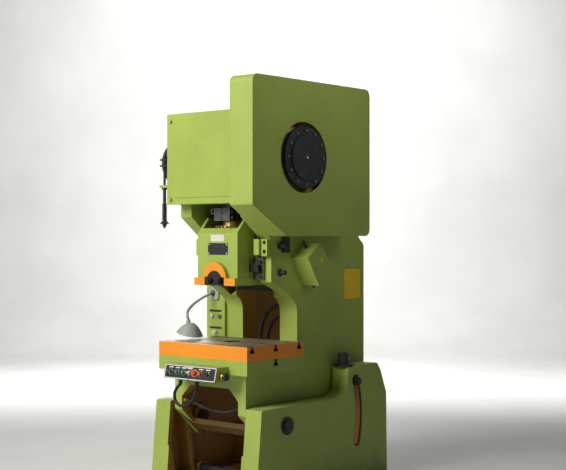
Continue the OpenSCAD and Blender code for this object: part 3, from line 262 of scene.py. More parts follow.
def make_finishes(settings):
    """Every finish of the press, by name."""
    green, orange = ([round(255 * c) for c in paint] for paint in (settings.green, settings.orange))
    FINISHES.update(
        casting=enamel("green_casting_paint", green, (96, 112, 46), 0.35, edge=0.006),
        sheet=enamel("green_sheet_paint", green, (100, 116, 48), 0.0, 0.36, 0.3, 0.004, 0.1),
        ochre=enamel("ochre_inside_paint", (166, 122, 54), (98, 74, 36), 0.6, 0.5),
        # Painted shade: a darker ochre for the frame's low beam
        beam=enamel("ochre_beam_painted_shade", (100, 74, 28), (66, 50, 20), 0.6, 0.5, 0.05),
        orange=enamel("orange_paint", orange, (176, 88, 20), 0.1, 0.36, 0.2),
        # Painted light: a lighter ochre for the walls seen through the throat, where little light
        # reaches
        throat=enamel("ochre_throat_painted_light", (188, 150, 74), (132, 104, 52), 0.6, 0.5),
        # Painted light: the gear's paint is lighter than its ochre, for its face in the shade inside
        # the guard
        gear=enamel("gear_painted_light", (250, 218, 124), (160, 128, 66), 0.3, 0.4),
        # Painted light: a lighter ochre for the walls of the legs' tilt slots
        slot_wall=enamel("slot_wall_painted_light", (236, 190, 112), (190, 144, 78), 0.4, 0.5),
        grey=enamel("lamp_paint", (172, 180, 174), (108, 112, 106), 0.0, 0.34, 0.2, 0.001),
        neck=steel("gooseneck_metal", (196, 198, 192), 0.42, oil=0.1, metal=0.5),
        black=black_metal("black_oxide"),
        iron=black_metal("black_cast_iron", (36, 37, 40), 0.42, cast=0.8),
        steel=steel("turned_steel", turned=True, oil=0.25),
        ground=steel("ground_steel", (140, 134, 122), 0.36, oil=0.7),
        bed_top=steel("bolster_top", (176, 158, 130), 0.46, oil=0.5, metal=0.4),
        ways=steel("oily_ways", (70, 66, 56), 0.3, oil=0.8, metal=0.8),
        bronze=steel("machined_bronze", (206, 178, 112), 0.36, turned=True, oil=0.25),
        brass=steel("polished_brass", (196, 168, 88), 0.22, oil=0.1),
        rubber=rubber("black_rubber"),
        button_green=plastic("green_button", (52, 150, 104)),
        button_red=plastic("red_button", (232, 74, 56)),
        button_white=plastic("white_button", (224, 226, 222)),
        button_black=plastic("black_button", (38, 38, 40), 0.36, 0.1),
        yellow_ring=plastic("yellow_ring", (226, 190, 52)),
        panel=label("panel_face", (30, 31, 33), (44, 46, 48)),
        panel_frame=label("panel_frame", (212, 214, 206), (186, 188, 178)),
        plate=label("black_plate", (38, 40, 44), (52, 54, 58)),
        pale_plate=label("pale_plate", (226, 220, 206), (206, 198, 184)),
        yellow_plate=label("yellow_plate", (252, 212, 36), (226, 184, 30), 0.4),
        ring=plastic("grey_ring", (112, 114, 112), 0.3, 0.4),
        bulb=plastic("milk_glass", (236, 234, 222), 0.2, 0.5, 0.0),
    )


# Meshes


# Edges that turn by more than this, in degrees, stay sharp
SMOOTH = 35.0


def new_object(name, mesh):
    """An object in the scene that shows a mesh."""
    thing = bpy.data.objects.new(name, mesh)
    bpy.context.scene.collection.objects.link(thing)
    return thing


def solid(name, bm, finish, body, smooth=SMOOTH):
    """Turns a bmesh into a finished piece that rides on a body."""
    bmesh.ops.remove_doubles(bm, verts=bm.verts, dist=1e-6)
    bmesh.ops.recalc_face_normals(bm, faces=bm.faces)
    mesh = bpy.data.meshes.new(name)
    bm.to_mesh(mesh)
    bm.free()
    piece = new_object(name, mesh)
    mesh.materials.append(FINISHES[finish])
    mesh.shade_smooth()
    mesh.set_sharp_from_angle(angle=math.radians(smooth))
    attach(piece, body)
    return piece


def ring_at(bm, place, radius, height, steps):
    """A ring of vertices about +Z of place, or a single one where the radius is nothing."""
    if radius < 1e-7:
        return [bm.verts.new(place @ Vector((0, 0, height)))]
    turns = [2 * math.pi * k / steps for k in range(steps)]
    points = [Vector((radius * math.cos(a), radius * math.sin(a), height)) for a in turns]
    return [bm.verts.new(place @ p) for p in points]


def skin_rings(bm, rings, caps=True):
    """Joins rings of as many vertices one after the other and closes both ends."""
    for a, b in zip(rings, rings[1:]):
        for k in range(len(a)):
            k2 = (k + 1) % len(a)
            bm.faces.new((a[k], a[k2], b[k2], b[k]))
    if caps:
        bm.faces.new(rings[-1])
        bm.faces.new(rings[0][::-1])


def plate_mesh(bm, width, height, depth, corner, place, steps=5):
    """A plate with round corners, its back on the origin of place, facing +Z there."""
    outline = []
    for i, (sx, sy) in enumerate(((1, 1), (-1, 1), (-1, -1), (1, -1))):
        for k in range(steps + 1):
            a = math.radians(90 * (i + k / steps))
            x = sx * (width / 2 - corner) + corner * math.cos(a)
            y = sy * (height / 2 - corner) + corner * math.sin(a)
            outline.append((x, y))
    chamfer = min(depth * 0.35, 0.001)
    rings = []
    for z, inset in ((0, 0), (depth - chamfer, 0), (depth, chamfer)):
        shrink_x, shrink_y = 1 - 2 * inset / width, 1 - 2 * inset / height
        ring = [Vector((x * shrink_x, y * shrink_y, z)) for x, y in outline]
        rings.append([bm.verts.new(place @ p) for p in ring])
    skin_rings(bm, rings)


def lathe_mesh(bm, profile, place, steps=32):
    """A turned shape from (radius, height) pairs about +Z of place."""
    rings = [ring_at(bm, place, radius, height, steps) for radius, height in profile]
    for a, b in zip(rings, rings[1:]):
        for k in range(steps):
            k2 = (k + 1) % steps
            if len(a) == 1 and len(b) > 1:
                bm.faces.new((a[0], b[k2], b[k]))
            elif len(b) == 1 and len(a) > 1:
                bm.faces.new((a[k], a[k2], b[0]))
            elif len(a) > 1:
                bm.faces.new((a[k], a[k2], b[k2], b[k]))


def plates(name, finish, body, boxes):
    """One piece of flat plates: each width, height, depth, corner radius and place."""
    bm = bmesh.new()
    for box in boxes:
        plate_mesh(bm, *box)
    return solid(name, bm, finish, body)


def turned(name, finish, body, slot, profile, place, steps, smooth=SMOOTH):
    """One turned piece."""
    bm = bmesh.new()
    lathe_mesh(bm, profile, place, steps)
    return solid(name, bm, finish, body, smooth)


def at(x, y, z, along=(0, 0, 1), up=(0, 1, 0)):
    """A frame at a point whose +Z runs along a direction."""
    w = Vector(along).normalized()
    u = Vector(up).cross(w)
    if u.length < 1e-6:
        u = Vector((1, 0, 0)).cross(w)
    u.normalize()
    v = w.cross(u)
    turn = Matrix((u, v, w)).transposed().to_4x4()
    return Matrix.Translation((x, y, z)) @ turn


def tube_mesh(bm, points, radius, sides=16, caps=True):
    """A tube that follows points; its radius is a length, or a function of the point's number."""
    points = [Vector(p) for p in points]
    normal = None
    rings = []
    for i, p in enumerate(points):
        ahead = points[min(i + 1, len(points) - 1)] - points[max(i - 1, 0)]
        ahead.normalize()
        if normal is None:
            normal = ahead.orthogonal().normalized()
        normal = (normal - ahead * normal.dot(ahead)).normalized()
        side = ahead.cross(normal)
        r = radius(i) if callable(radius) else radius
        turns = [2 * math.pi * k / sides for k in range(sides)]
        ring = [p + r * math.cos(a) * normal + r * math.sin(a) * side for a in turns]
        rings.append([bm.verts.new(q) for q in ring])
    skin_rings(bm, rings, caps=False)
    if caps:
        bm.faces.new(rings[0])
        bm.faces.new(rings[-1][::-1])


def smooth_path(points, per_span):
    """A smooth curve through points, as the part's source makes it."""
    points = [Vector(p) for p in points]
    last = len(points) - 1
    curve = []
    for i in range(last):
        a, b = points[max(i - 1, 0)], points[i]
        c, d = points[i + 1], points[min(i + 2, last)]
        for k in range(per_span):
            t = k / per_span
            square = (2 * a - 5 * b + 4 * c - d) * t * t
            cube = (3 * b - a - 3 * c + d) * t * t * t
            curve.append(0.5 * (2 * b + (c - a) * t + square + cube))
    curve.append(points[-1])
    return curve


def paint_faces(node, finishes, choose):
    """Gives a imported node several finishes; choose turns face centres and normals into numbers."""
    mesh = NODES[node].data
    mesh.materials.clear()
    for finish in finishes:
        mesh.materials.append(FINISHES[finish])
    count = len(mesh.polygons)
    centres = np.zeros(count * 3, np.float32)
    normals = np.zeros(count * 3, np.float32)
    mesh.polygons.foreach_get("center", centres)
    mesh.polygons.foreach_get("normal", normals)
    index = choose(centres.reshape(-1, 3), normals.reshape(-1, 3)).astype(np.int32)
    mesh.polygons.foreach_set("material_index", index)
    mesh.update()


def within(points, outline):
    """Which points (n, 2) lie inside a closed outline."""
    x, y = points[:, 0], points[:, 1]
    inside = np.zeros(len(points), bool)
    for (x1, y1), (x2, y2) in zip(outline, outline[1:] + outline[:1]):
        crosses = (y1 > y) != (y2 > y)
        with np.errstate(divide="ignore", invalid="ignore"):
            inside ^= crosses & (x < (x2 - x1) * (y - y1) / (y2 - y1) + x1)
    return inside


# Beyond every face of the press, in metres
FAR = 9.0


def in_box(points, half_width=FAR, y=(-FAR, FAR), z=(-FAR, FAR)):
    """Which points lie inside a box that is as wide to the left as to the right."""
    inside = np.abs(points[:, 0]) < half_width
    for k, (low, high) in ((1, y), (2, z)):
        inside &= (points[:, k] > low) & (points[:, k] < high)
    return inside


def repeat_tree(name):
    """The rule of a repeated shape: on every point, turned to its facing, of one finish."""
    group = bpy.data.node_groups.new(name + "_rule", "GeometryNodeTree")
    for given_name, kind in (
        ("Geometry", "Geometry"),
        ("Shape", "Object"),
        ("Size", "Float"),
        ("Finish", "Material"),
    ):
        group.interface.new_socket(given_name, in_out="INPUT", socket_type="NodeSocket" + kind)
    group.interface.new_socket("Geometry", in_out="OUTPUT", socket_type="NodeSocketGeometry")
    t = Tree(group)
    given = t.node("NodeGroupInput").outputs
    info = t.node("GeometryNodeObjectInfo", {"Object": given["Shape"]})
    facing = t.node(
        "GeometryNodeInputNamedAttribute", {"Name": "facing"}, data_type="FLOAT_VECTOR"
    )
    align = t.node(
        "FunctionNodeAlignRotationToVector", {"Vector": facing.outputs["Attribute"]}, axis="Z"
    )
    places = {
        "Points": given["Geometry"],
        "Instance": info.outputs["Geometry"],
        "Rotation": align.outputs["Rotation"],
        "Scale": given["Size"],
    }
    copies = t.node("GeometryNodeInstanceOnPoints", places).outputs["Instances"]
    real = t.node("GeometryNodeRealizeInstances", {"Geometry": copies}).outputs["Geometry"]
    coat = t.node("GeometryNodeSetMaterial", {"Geometry": real, "Material": given["Finish"]})
    t.node("NodeGroupOutput", {"Geometry": coat.outputs["Geometry"]})
    return group


def repeat(name, points, normals, make, finish="steel", body="frame"):
    """Geometry Nodes: one small shape on each point, turned to that point's direction."""
    mesh = bpy.data.meshes.new(name + "_places")
    mesh.from_pydata(points, [], [])
    facing = mesh.attributes.new("facing", "FLOAT_VECTOR", "POINT")
    facing.data.foreach_set("vector", np.array(normals, np.float32).ravel())
    carrier = new_object(name + "_carrier", mesh)
    bm = bmesh.new()
    make(bm)
    bmesh.ops.recalc_face_normals(bm, faces=bm.faces)
    shape_mesh = bpy.data.meshes.new(name + "_shape")
    bm.to_mesh(shape_mesh)
    bm.free()
    shape = new_object(name + "_shape", shape_mesh)
    tree = repeat_tree(name)
    modifier = carrier.modifiers.new(name, "NODES")
    modifier.node_group = tree
    keys = {s.name: s.identifier for s in tree.interface.items_tree if s.in_out == "INPUT"}
    modifier[keys["Shape"]] = shape
    modifier[keys["Size"]] = 1.0
    modifier[keys["Finish"]] = FINISHES[finish]
    bpy.context.view_layer.update()
    depsgraph = bpy.context.evaluated_depsgraph_get()
    result = bpy.data.meshes.new_from_object(carrier.evaluated_get(depsgraph))
    result.name = name
    piece = new_object(name, result)
    result.shade_smooth()
    result.set_sharp_from_angle(angle=math.radians(SMOOTH))
    bpy.data.objects.remove(carrier)
    bpy.data.objects.remove(shape)
    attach(piece, body)
    return piece


def hexagon_at(bm, place, across, height):
    """A hexagon head with a chamfered top."""
    radius = across / 2 / math.cos(math.pi / 6)
    levels = ((0, radius), (height * 0.8, radius), (height, radius * 0.86))
    skin_rings(bm, [ring_at(bm, place, r, z, 6) for z, r in levels])


def round_head(bm, radius, height, steps=12):
    """A domed head, such as a rivet's."""
    profile = [(0, 0), (radius, 0)]
    for k in range(1, 4):
        a = math.radians(90 * k / 4)
        profile.append((radius * math.cos(a), height * math.sin(a)))
    profile.append((0, height))
    lathe_mesh(bm, profile, Matrix.Identity(4), steps)


def four_about(x, y, z, dx, dy, dz):
    """The corners of an upright rectangle about a point, dx and dy across and dz up."""
    return [(x + i * dx, y + i * dy, z + j * dz) for i in (-1, 1) for j in (-1, 1)]


FRONT, RIGHT, LEFT, UP = (0, -1, 0), (1, 0, 0), (-1, 0, 0), (0, 0, 1)

# Main sizes that the pieces share with the part's source, in metres: the slide's front face, the
# frame's right side, y and z of the crank's axis and of the tilt pivot, and the locks' radius
SLIDE_FRONT = -0.543
SIDE = 0.347
CRANK = (-0.39, 2.319)
PIVOT = (-0.386, 0.472)
LOCK_RADIUS = 0.816
# The clutch box on the frame's side, and the crank cover's lower edge
BOX_AT, BOX_LEAN = (SIDE, 0.001, 1.58), math.radians(32.4)
COVER_LOW = 1.892
# The control box's sloping face, its seven controls from left to right, and the palm buttons
PANEL_TILT = math.radians(13)
PANEL_AT = Vector((0.004, -0.816, 0.838))
PANEL_OUT = Vector((0, -math.cos(PANEL_TILT), math.sin(PANEL_TILT)))
PANEL_UP = Vector((0, math.sin(PANEL_TILT), math.cos(PANEL_TILT)))
CONTROLS = (-0.192, -0.128, -0.066, -0.008, 0.046, 0.098, 0.166)
MODE_NUMBER, STOP_NUMBER = 3, 4
PALM_Y, PALM_Z = -0.758, 0.825


def on_panel(x, y=0.0, z=0.0):
    """A frame on the control box's sloping face."""
    p = PANEL_AT + Vector((x, 0, 0)) + PANEL_UP * y + PANEL_OUT * z
    return at(p.x, p.y, p.z, PANEL_OUT, PANEL_UP)


# Settings


class PressPaint(bpy.types.PropertyGroup):
    green: bpy.props.FloatVectorProperty(
        name="Machine green",
        description="Paint of the castings and covers, on the screen's scale",
        subtype="COLOR_GAMMA",
        size=3,
        min=0,
        max=1,
        default=(0.655, 0.735, 0.335),
    )
    orange: bpy.props.FloatVectorProperty(
        name="Safety orange",
        description="Paint of the bolster and the slide's lower edge",
        subtype="COLOR_GAMMA",
        size=3,
        min=0,
        max=1,
        default=(1.0, 0.615, 0.16),
    )


class PressFittings(bpy.types.PropertyGroup):
    rivet: bpy.props.FloatProperty(
        name="Rivet radius",
        description="Radius of the name plate's rivets",
        default=0.006,
        unit="LENGTH",
    )
    plate_depth: bpy.props.FloatProperty(
        name="Plate thickness",
        description="Thickness of the blank plates",
        default=0.002,
        unit="LENGTH",
    )


class PressStage(bpy.types.PropertyGroup):
    eye: bpy.props.FloatVectorProperty(
        name="Eye point",
        description="Where the camera stands",
        subtype="TRANSLATION",
        unit="LENGTH",
        default=(6.141, -6.901, 1.776),
    )
    azimuth: bpy.props.FloatProperty(
        name="Azimuth",
        description="Direction of view, turned from +Y towards -X",
        subtype="ANGLE",
        default=math.radians(39.75),
    )
    lens: bpy.props.FloatProperty(
        name="Lens", description="Focal length in millimetres", default=79.27
    )
    shift_x: bpy.props.FloatProperty(
        name="Shift across", description="Sideways shift of the picture", default=-0.048
    )
    shift_y: bpy.props.FloatProperty(
        name="Shift up", description="Upward shift of the picture", default=0.0038
    )
    key: bpy.props.FloatProperty(
        name="Key light", description="Strength of the main softbox", default=660.0, unit="POWER"
    )


class PressSettings(bpy.types.PropertyGroup):
    paint: bpy.props.PointerProperty(type=PressPaint)
    fittings: bpy.props.PointerProperty(type=PressFittings)
    stage: bpy.props.PointerProperty(type=PressStage)


# Stage


# Half width of the floor, distance and height of the wall, and the bend between them, in metres
FLOOR_HALF, WALL_AWAY, WALL_HEIGHT = 14.0, 9.0, 7.0
BEND_RADIUS, BEND_STEPS = 2.5, 12
# What the camera sees where the floor and the wall are far from the lit backdrop
PALE = (0.78, 0.79, 0.8, 1)
# How bright the world is for all rays, and what each of these kinds of ray sees on top of that
WORLD_COLOUR = (0.94, 0.96, 1.0, 1)
WORLD_LEVEL = 0.02
WORLD_RAYS = (("Is Camera Ray", 0.86), ("Is Transmission Ray", 0.86), ("Is Glossy Ray", 0.2))
# Name, place, aim, size, share of the key light's strength, and spread in degrees
LAMP_COLOUR = (1.0, 0.985, 0.96)
LAMPS = (
    ("key_light", (-1.6, -7.5, 5.2), (0, -0.4, 1.3), 4.0, 1.0, 180),
    ("side_light", (5.6, -0.6, 4.7), (0.67, -0.3, 3.9), 1.4, 0.016, 56),
    ("top_light", (0.5, 0.5, 7.5), (0, 0, 0), 5.0, 0.1, 180),
    ("rim_light", (-5.5, 4.5, 4.5), (0, 0, 1.4), 3.0, 0.3, 180),
)
# The backdrop's lamp turns with the camera
BACKDROP_LAMP = ("backdrop_light", (0, 6.5, 5.5), (0, 11.5, 2.0), 7.0, 1.0, 180)


# Operators


class PressOperator:
    """What every operator of the press shares"""

    bl_options = {"REGISTER", "UNDO"}

    @property
    def settings(self):
        return bpy.context.scene.press


class PRESS_OT_stage(PressOperator, bpy.types.Operator):
    """Adds the floor, the backdrop, the lamps and the camera"""

    bl_idname = "press.stage"
    bl_label = "Stage"

    def execute(self, context):
        settings = self.settings.stage
        turn = Matrix.Rotation(settings.azimuth, 4, "Z")
        self.add_camera(context, settings)
        self.add_floor(turn)
        self.add_world(context)
        for lamp in LAMPS:
            self.add_lamp(settings.key, *lamp)
        name, place, aim, *rest = BACKDROP_LAMP
        self.add_lamp(settings.key, name, turn @ Vector(place), turn @ Vector(aim), *rest)
        context.scene.view_settings.view_transform = "Standard"
        return {"FINISHED"}

    @staticmethod
    def add_camera(context, settings):
        """A level camera at the eye point."""
        data = bpy.data.cameras.new("camera")
        data.lens = settings.lens
        data.sensor_width = 36.0
        data.shift_x, data.shift_y = settings.shift_x, settings.shift_y
        data.clip_end = 200.0
        camera = new_object("camera", data)
        camera.location = settings.eye
        camera.rotation_euler = (math.pi / 2, 0, settings.azimuth)
        context.scene.camera = camera

    @staticmethod
    def add_floor(turn):
        """A floor that bends up into a wall, pale to the camera away from the lit backdrop."""
        f = Finish("pale_floor")
        patches = f.ramp(f.noise(0.8, 4), 0.3, 0.7)
        base = f.mix(patches, colour(214, 215, 214), colour(206, 207, 206))
        look = f.done(base, 0.6, specular=0.2)
        level = f.camera_ray()
        backdrop = turn @ Vector((0, WALL_AWAY + BEND_RADIUS, BEND_RADIUS))
        for centre, near, far in (((0, 0, 0), 2.5, 8.5), (backdrop, 5.5, 9.0)):
            level = f.math("MULTIPLY", f.ramp(f.distance(centre), near, far), level)
        f.put(PALE, f.shader.inputs["Emission Color"])
        f.put(level, f.shader.inputs["Emission Strength"])

        profile = [(-FLOOR_HALF, 0.0)]
        for k in range(BEND_STEPS + 1):
            a = math.radians(90 * k / BEND_STEPS)
            profile.append(
                (WALL_AWAY + BEND_RADIUS * math.sin(a), BEND_RADIUS * (1 - math.cos(a)))
            )
        profile.append((WALL_AWAY + BEND_RADIUS, WALL_HEIGHT))
        bm = bmesh.new()
        rows = [
            [bm.verts.new(turn @ Vector((x, y, z))) for x in (-FLOOR_HALF, FLOOR_HALF)]
            for y, z in profile
        ]
        for a, b in zip(rows, rows[1:]):
            bm.faces.new((a[0], a[1], b[1], b[0]))
        mesh = bpy.data.meshes.new("floor")
        bm.to_mesh(mesh)
        bm.free()
        mesh.materials.append(look)
        mesh.shade_smooth()
        new_object("floor", mesh)

    @staticmethod
    def add_world(context):
        """A dim world that the camera, glass and, less, gloss see as pale."""
        world = bpy.data.worlds.new("studio")
        world.use_nodes = True
        context.scene.world = world
        t = Tree(world.node_tree)
        path = t.node("ShaderNodeLightPath")
        level = WORLD_LEVEL
        for ray, share in WORLD_RAYS:
            inputs = {0: path.outputs[ray], 1: share, 2: level}
            level = t.node("ShaderNodeMath", inputs, operation="MULTIPLY_ADD").outputs[0]
        back = t.tree.nodes["Background"]
        t.put(WORLD_COLOUR, back.inputs["Color"])
        t.put(level, back.inputs["Strength"])

    @staticmethod
    def add_lamp(key, name, place, aim, size, share, spread):
        """A softbox at a place, turned to its aim."""
        lamp = bpy.data.lights.new(name, "AREA")
        lamp.energy = key * share
        lamp.size = size
        lamp.color = LAMP_COLOUR
        lamp.spread = math.radians(spread)
        holder = new_object(name, lamp)
        holder.location = place
        direction = Vector(aim) - Vector(place)
        holder.rotation_euler = direction.to_track_quat("-Z", "Y").to_euler()


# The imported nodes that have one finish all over
PLAIN_FINISH = {
    "sheet": [
        "gear_guard", "guard_back", "crank_cover", "switch_box", "motor_mount", "brake_bracket",
    ],
    "casting": ["backshaft_housings", "motor"],
    "gear": ["main_gear"],
    "black": [
        "leg_tie_rods", "pivot_pins", "slot_rims", "tilt_lock_nuts", "slot_bolts", "gib_screws",
        "knockout_stops", "shank_clamp", "clamp_nuts", "knockout_bar", "brake_rod",
    ],
    "iron": ["brake_drum", "brake_band", "flywheel", "motor_pulley"],
    "steel": [
        "crankshaft", "connecting_rod", "rod_cap", "adjusting_screw", "backshaft", "pinion",
        "key_selector",
    ],
    "bronze": ["crank_bushes", "ratchet_ring"],
    "grey": ["lamp_arm", "lamp_shade"],
    "rubber": ["v_belts"],
    "button_green": ["side_button", "run_button_left", "run_button_right"],
    "button_red": ["stop_button", "off_button"],
    "button_white": ["mode_selector", "side_rotary"],
    "button_black": ["inch_button", "palm_button_left", "palm_button_right"],
}

# Outlines seen from the side, as y and z in metres: a leg, and the rooms inside the frame
LEG_OUTLINE = [
    (-0.700, 0.0), (-0.645, 0.600), (-0.580, 0.604), (0.205, 0.604), (0.290, 0.650),
    (0.302, 0.822), (0.412, 0.822), (0.424, 0.832), (0.654, 0.830), (0.700, 0.770),
    (0.770, 0.600), (0.780, 0.0),
]
INNER_OUTLINE = [
    (-0.560, 0.795), (-0.560, 0.282), (0.180, 0.282), (0.661, 0.700), (0.661, 1.700),
    (0.599, 1.748), (0.080, 2.540), (-0.060, 2.560), (-0.060, 1.500), (0.070, 1.400),
    (0.070, 0.795),
]


class PRESS_OT_finishes(PressOperator, bpy.types.Operator):
    """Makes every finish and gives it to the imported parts"""

    bl_idname = "press.finishes"
    bl_label = "Finishes"

    def execute(self, context):
        make_finishes(self.settings.paint)
        for finish, names in PLAIN_FINISH.items():
            for name in names:
                mesh = NODES[name].data
                mesh.materials.clear()
                mesh.materials.append(FINISHES[finish])
        for name in ("leg_left", "leg_right"):
            paint_faces(name, ("casting", "ochre", "slot_wall"), self.leg_faces)
        paint_faces("c_frame", ("casting", "ochre", "ways", "throat", "beam"), self.frame_faces)
        paint_faces("clutch_cap", ("iron", "steel"), self.cap_faces)
        paint_faces("slide_body", ("casting", "orange", "ways"), self.slide_faces)
        paint_faces("bolster_plate", ("orange", "bed_top", "black"), self.bolster_faces)
        for name in ("gib_left", "gib_right"):
            paint_faces(name, ("casting", "ground"), self.gib_faces)
        paint_faces("clutch_box", ("sheet", "black"), self.clutch_faces)
        paint_faces("control_box", ("sheet", "panel", "panel_frame", "brass"), self.panel_faces)
        return {"FINISHED"}

    @staticmethod
    def leg_faces(c, n):
        """Green outside; ochre in the pockets and towards the frame; a lighter ochre in the tilt
        slot as painted light.
        """
        inward = n[:, 0] * np.sign(c[:, 0])
        just_outside = c[:, 1:] + 0.03 * n[:, 1:]
        hidden = within(just_outside, LEG_OUTLINE) & (np.abs(n[:, 0]) < 0.5) & in_box(c, 0.487)
        reach = np.hypot(c[:, 1] - PIVOT[0], c[:, 2] - PIVOT[1])
        # Painted light: the tilt slot's walls get a lighter ochre than the pockets
        slot = hidden & (c[:, 1] > 0.1) & (np.abs(reach - LOCK_RADIUS) < 0.04)
        return np.where(slot, 2, np.where((inward < -0.5) | hidden, 1, 0))

    @staticmethod
    def gib_faces(c, n):
        """The upper blocks are painted; the plates and liners below them are bare."""
        return np.where((c[:, 2] < 1.641) | (c[:, 1] > -0.3605), 1, 0)

    @staticmethod
    def clutch_faces(c, n):
        """The thin rods of the linkage, apart from the box and its flange."""
        place = Matrix.Translation(BOX_AT) @ Matrix.Rotation(BOX_LEAN, 4, "X")
        inverse = np.array(place.inverted())
        local = c @ inverse[:3, :3].T + inverse[:3, 3]
        return np.where(np.abs(local[:, 2]) > 0.1205, 1, 0)

    @staticmethod
    def frame_faces(c, n):
        """Green outside; ochre rooms, with painted light in the throat and painted shade in the low
        beam; bare ways and front slot.
        """
        side = np.abs(n[:, 0]) > 0.5
        inward = side & (n[:, 0] * np.sign(c[:, 0]) < -0.5)
        just_outside = c[:, 1:] + 0.02 * n[:, 1:]
        room = within(just_outside, INNER_OUTLINE) & in_box(c, 0.3155)
        throat = in_box(c, 0.1835, y=(-0.079, FAR), z=(0.925, 1.39))
        arch = in_box(c, 0.2755, y=(-0.619, FAR), z=(-FAR, 0.73))
        slab = in_box(c, y=(-FAR, -0.56), z=(0.80, 0.9305))
        ochre = (inward | (~side & (room | throat | arch))) & ~slab
        ways = in_box(c, 0.2405, y=(-FAR, -0.149), z=(1.458, 1.86)) & (n[:, 1] < 0.5)
        ways &= inward | (c[:, 1] > -0.2)
        slot = in_box(c, 0.4295, z=(0.8835, 0.9295)) & (np.abs(c[:, 1] + 0.407) < 0.0235)
        index = np.where(ochre, 1, 0)
        index[ways | slot] = 2
        # Painted light: ochre faces at the throat's height take the lighter throat ochre
        index[(index == 1) & in_box(c, z=(0.925, 1.66))] = 3
        # Painted shade: ochre faces of the low beam take the darker beam ochre
        index[(index == 1) & ~side & in_box(c, y=(-0.6, FAR), z=(-FAR, 0.74))] = 4
        index[(index == 1) & (c[:, 2] > 1.86)] = 0
        return index

    @staticmethod
    def cap_faces(c, n):
        """The heads of the screws round the clutch cap's rim."""
        out = np.hypot(c[:, 1] - CRANK[0], c[:, 2] - CRANK[1])
        return np.where((c[:, 0] > 0.6885) & (out > 0.165), 1, 0)

    @staticmethod
    def slide_faces(c, n):
        """Orange on the front lip; the guided ribs and the underside bare."""
        front, below = n[:, 1] < -0.7, n[:, 2] < -0.7
        lip = front & in_box(c, y=(-FAR, -0.57), z=(-FAR, 1.62))
        rib = ~in_box(c, 0.1935) & in_box(c, y=(-0.362, -0.26), z=(1.478, FAR))
        index = np.where(lip, 1, 0)
        index[rib | (below & (c[:, 2] < 1.44))] = 2
        return index

    @staticmethod
    def bolster_faces(c, n):
        """Orange round the edge, bare on top, black in the slots and holes."""
        top = (n[:, 2] > 0.7) & (c[:, 2] > 1.029)
        edge = ~in_box(c, 0.4295, y=(-0.6995, -0.1045)) & (np.abs(n[:, 2]) < 0.5)
        return np.where(top, 1, np.where(edge, 0, 2))

    @staticmethod
    def panel_faces(c, n):
        """Green box, dark sloping face with its rings, pale rim, brass ends."""
        away = (c - np.array(PANEL_AT)) @ np.array(PANEL_OUT)
        up = (c - np.array(PANEL_AT)) @ np.array(PANEL_UP)
        x = np.abs(c[:, 0] - PANEL_AT.x)
        half_field, half_height, half_box = 0.236, 0.036, 0.2505
        face = (n @ np.array(PANEL_OUT) > 0.9) & (np.abs(away) < 0.002)
        proud = away > 0.0005
        rim = proud & ((x > half_field) | (np.abs(up) > half_height))
        index = np.where(face | (proud & ~rim), 1, np.where(rim, 2, 0))
        index[x > half_box] = 3
        return index


class PRESS_OT_plates(PressOperator, bpy.types.Operator):
    """Adds the blank plates of the slide, frame, switch box and clutch box, with their rivets"""

    bl_idname = "press.plates"
    bl_label = "Blank plates"

    def execute(self, context):
        s = self.settings.fittings
        t = s.plate_depth
        x, z = 0.005, 1.6925
        name_plate = (0.196, 0.083, t, 0.003, at(x, SLIDE_FRONT, z, FRONT, UP))
        plates("slide_plate", "plate", "slide", [name_plate])
        repeat(
            "slide_rivets",
            four_about(x, SLIDE_FRONT - t, z, 0.087, 0, 0.032),
            [FRONT] * 4,
            lambda b: round_head(b, s.rivet, 0.003),
            "button_white",
            "slide",
        )
        strip = (0.13, 0.048, t * 0.6, 0.012, at(0.0, SLIDE_FRONT, 1.77, FRONT, UP))
        plates("slide_label", "pale_plate", "slide", [strip])
        y, z = 0.562, 1.4235
        side_plate = (0.196, 0.223, t, 0.006, at(SIDE, y, z, RIGHT, UP))
        plates("side_plate", "yellow_plate", "frame", [side_plate])
        repeat(
            "side_plate_rivets",
            four_about(SIDE + t, y, z, 0, 0.086, 0.1),
            [RIGHT] * 4,
            lambda b: round_head(b, 0.005, 0.0025),
        )
        strips = [
            (0.125, 0.016, 0.0012, 0.002, at(-0.443, -0.104, z, FRONT, UP)) for z in (1.219, 1.092)
        ]
        plates("switch_strips", "plate", "frame", strips)
        x, y, z = BOX_AT
        box = Matrix.Translation((x + 0.15, y, z)) @ Matrix.Rotation(BOX_LEAN, 4, "X")
        radius, depth = 0.026, 0.0012
        corners = [math.radians(90) - BOX_LEAN + math.radians(120 * k) for k in range(3)]
        points = [(radius * math.cos(a) + 0.03, radius * math.sin(a) + 0.02) for a in corners]
        bm = bmesh.new()
        rings = [[bm.verts.new(box @ Vector((x, *p))) for p in points] for x in (0, depth)]
        skin_rings(bm, rings)
        solid("box_triangle", bm, "yellow_plate", "frame")
        return {"FINISHED"}


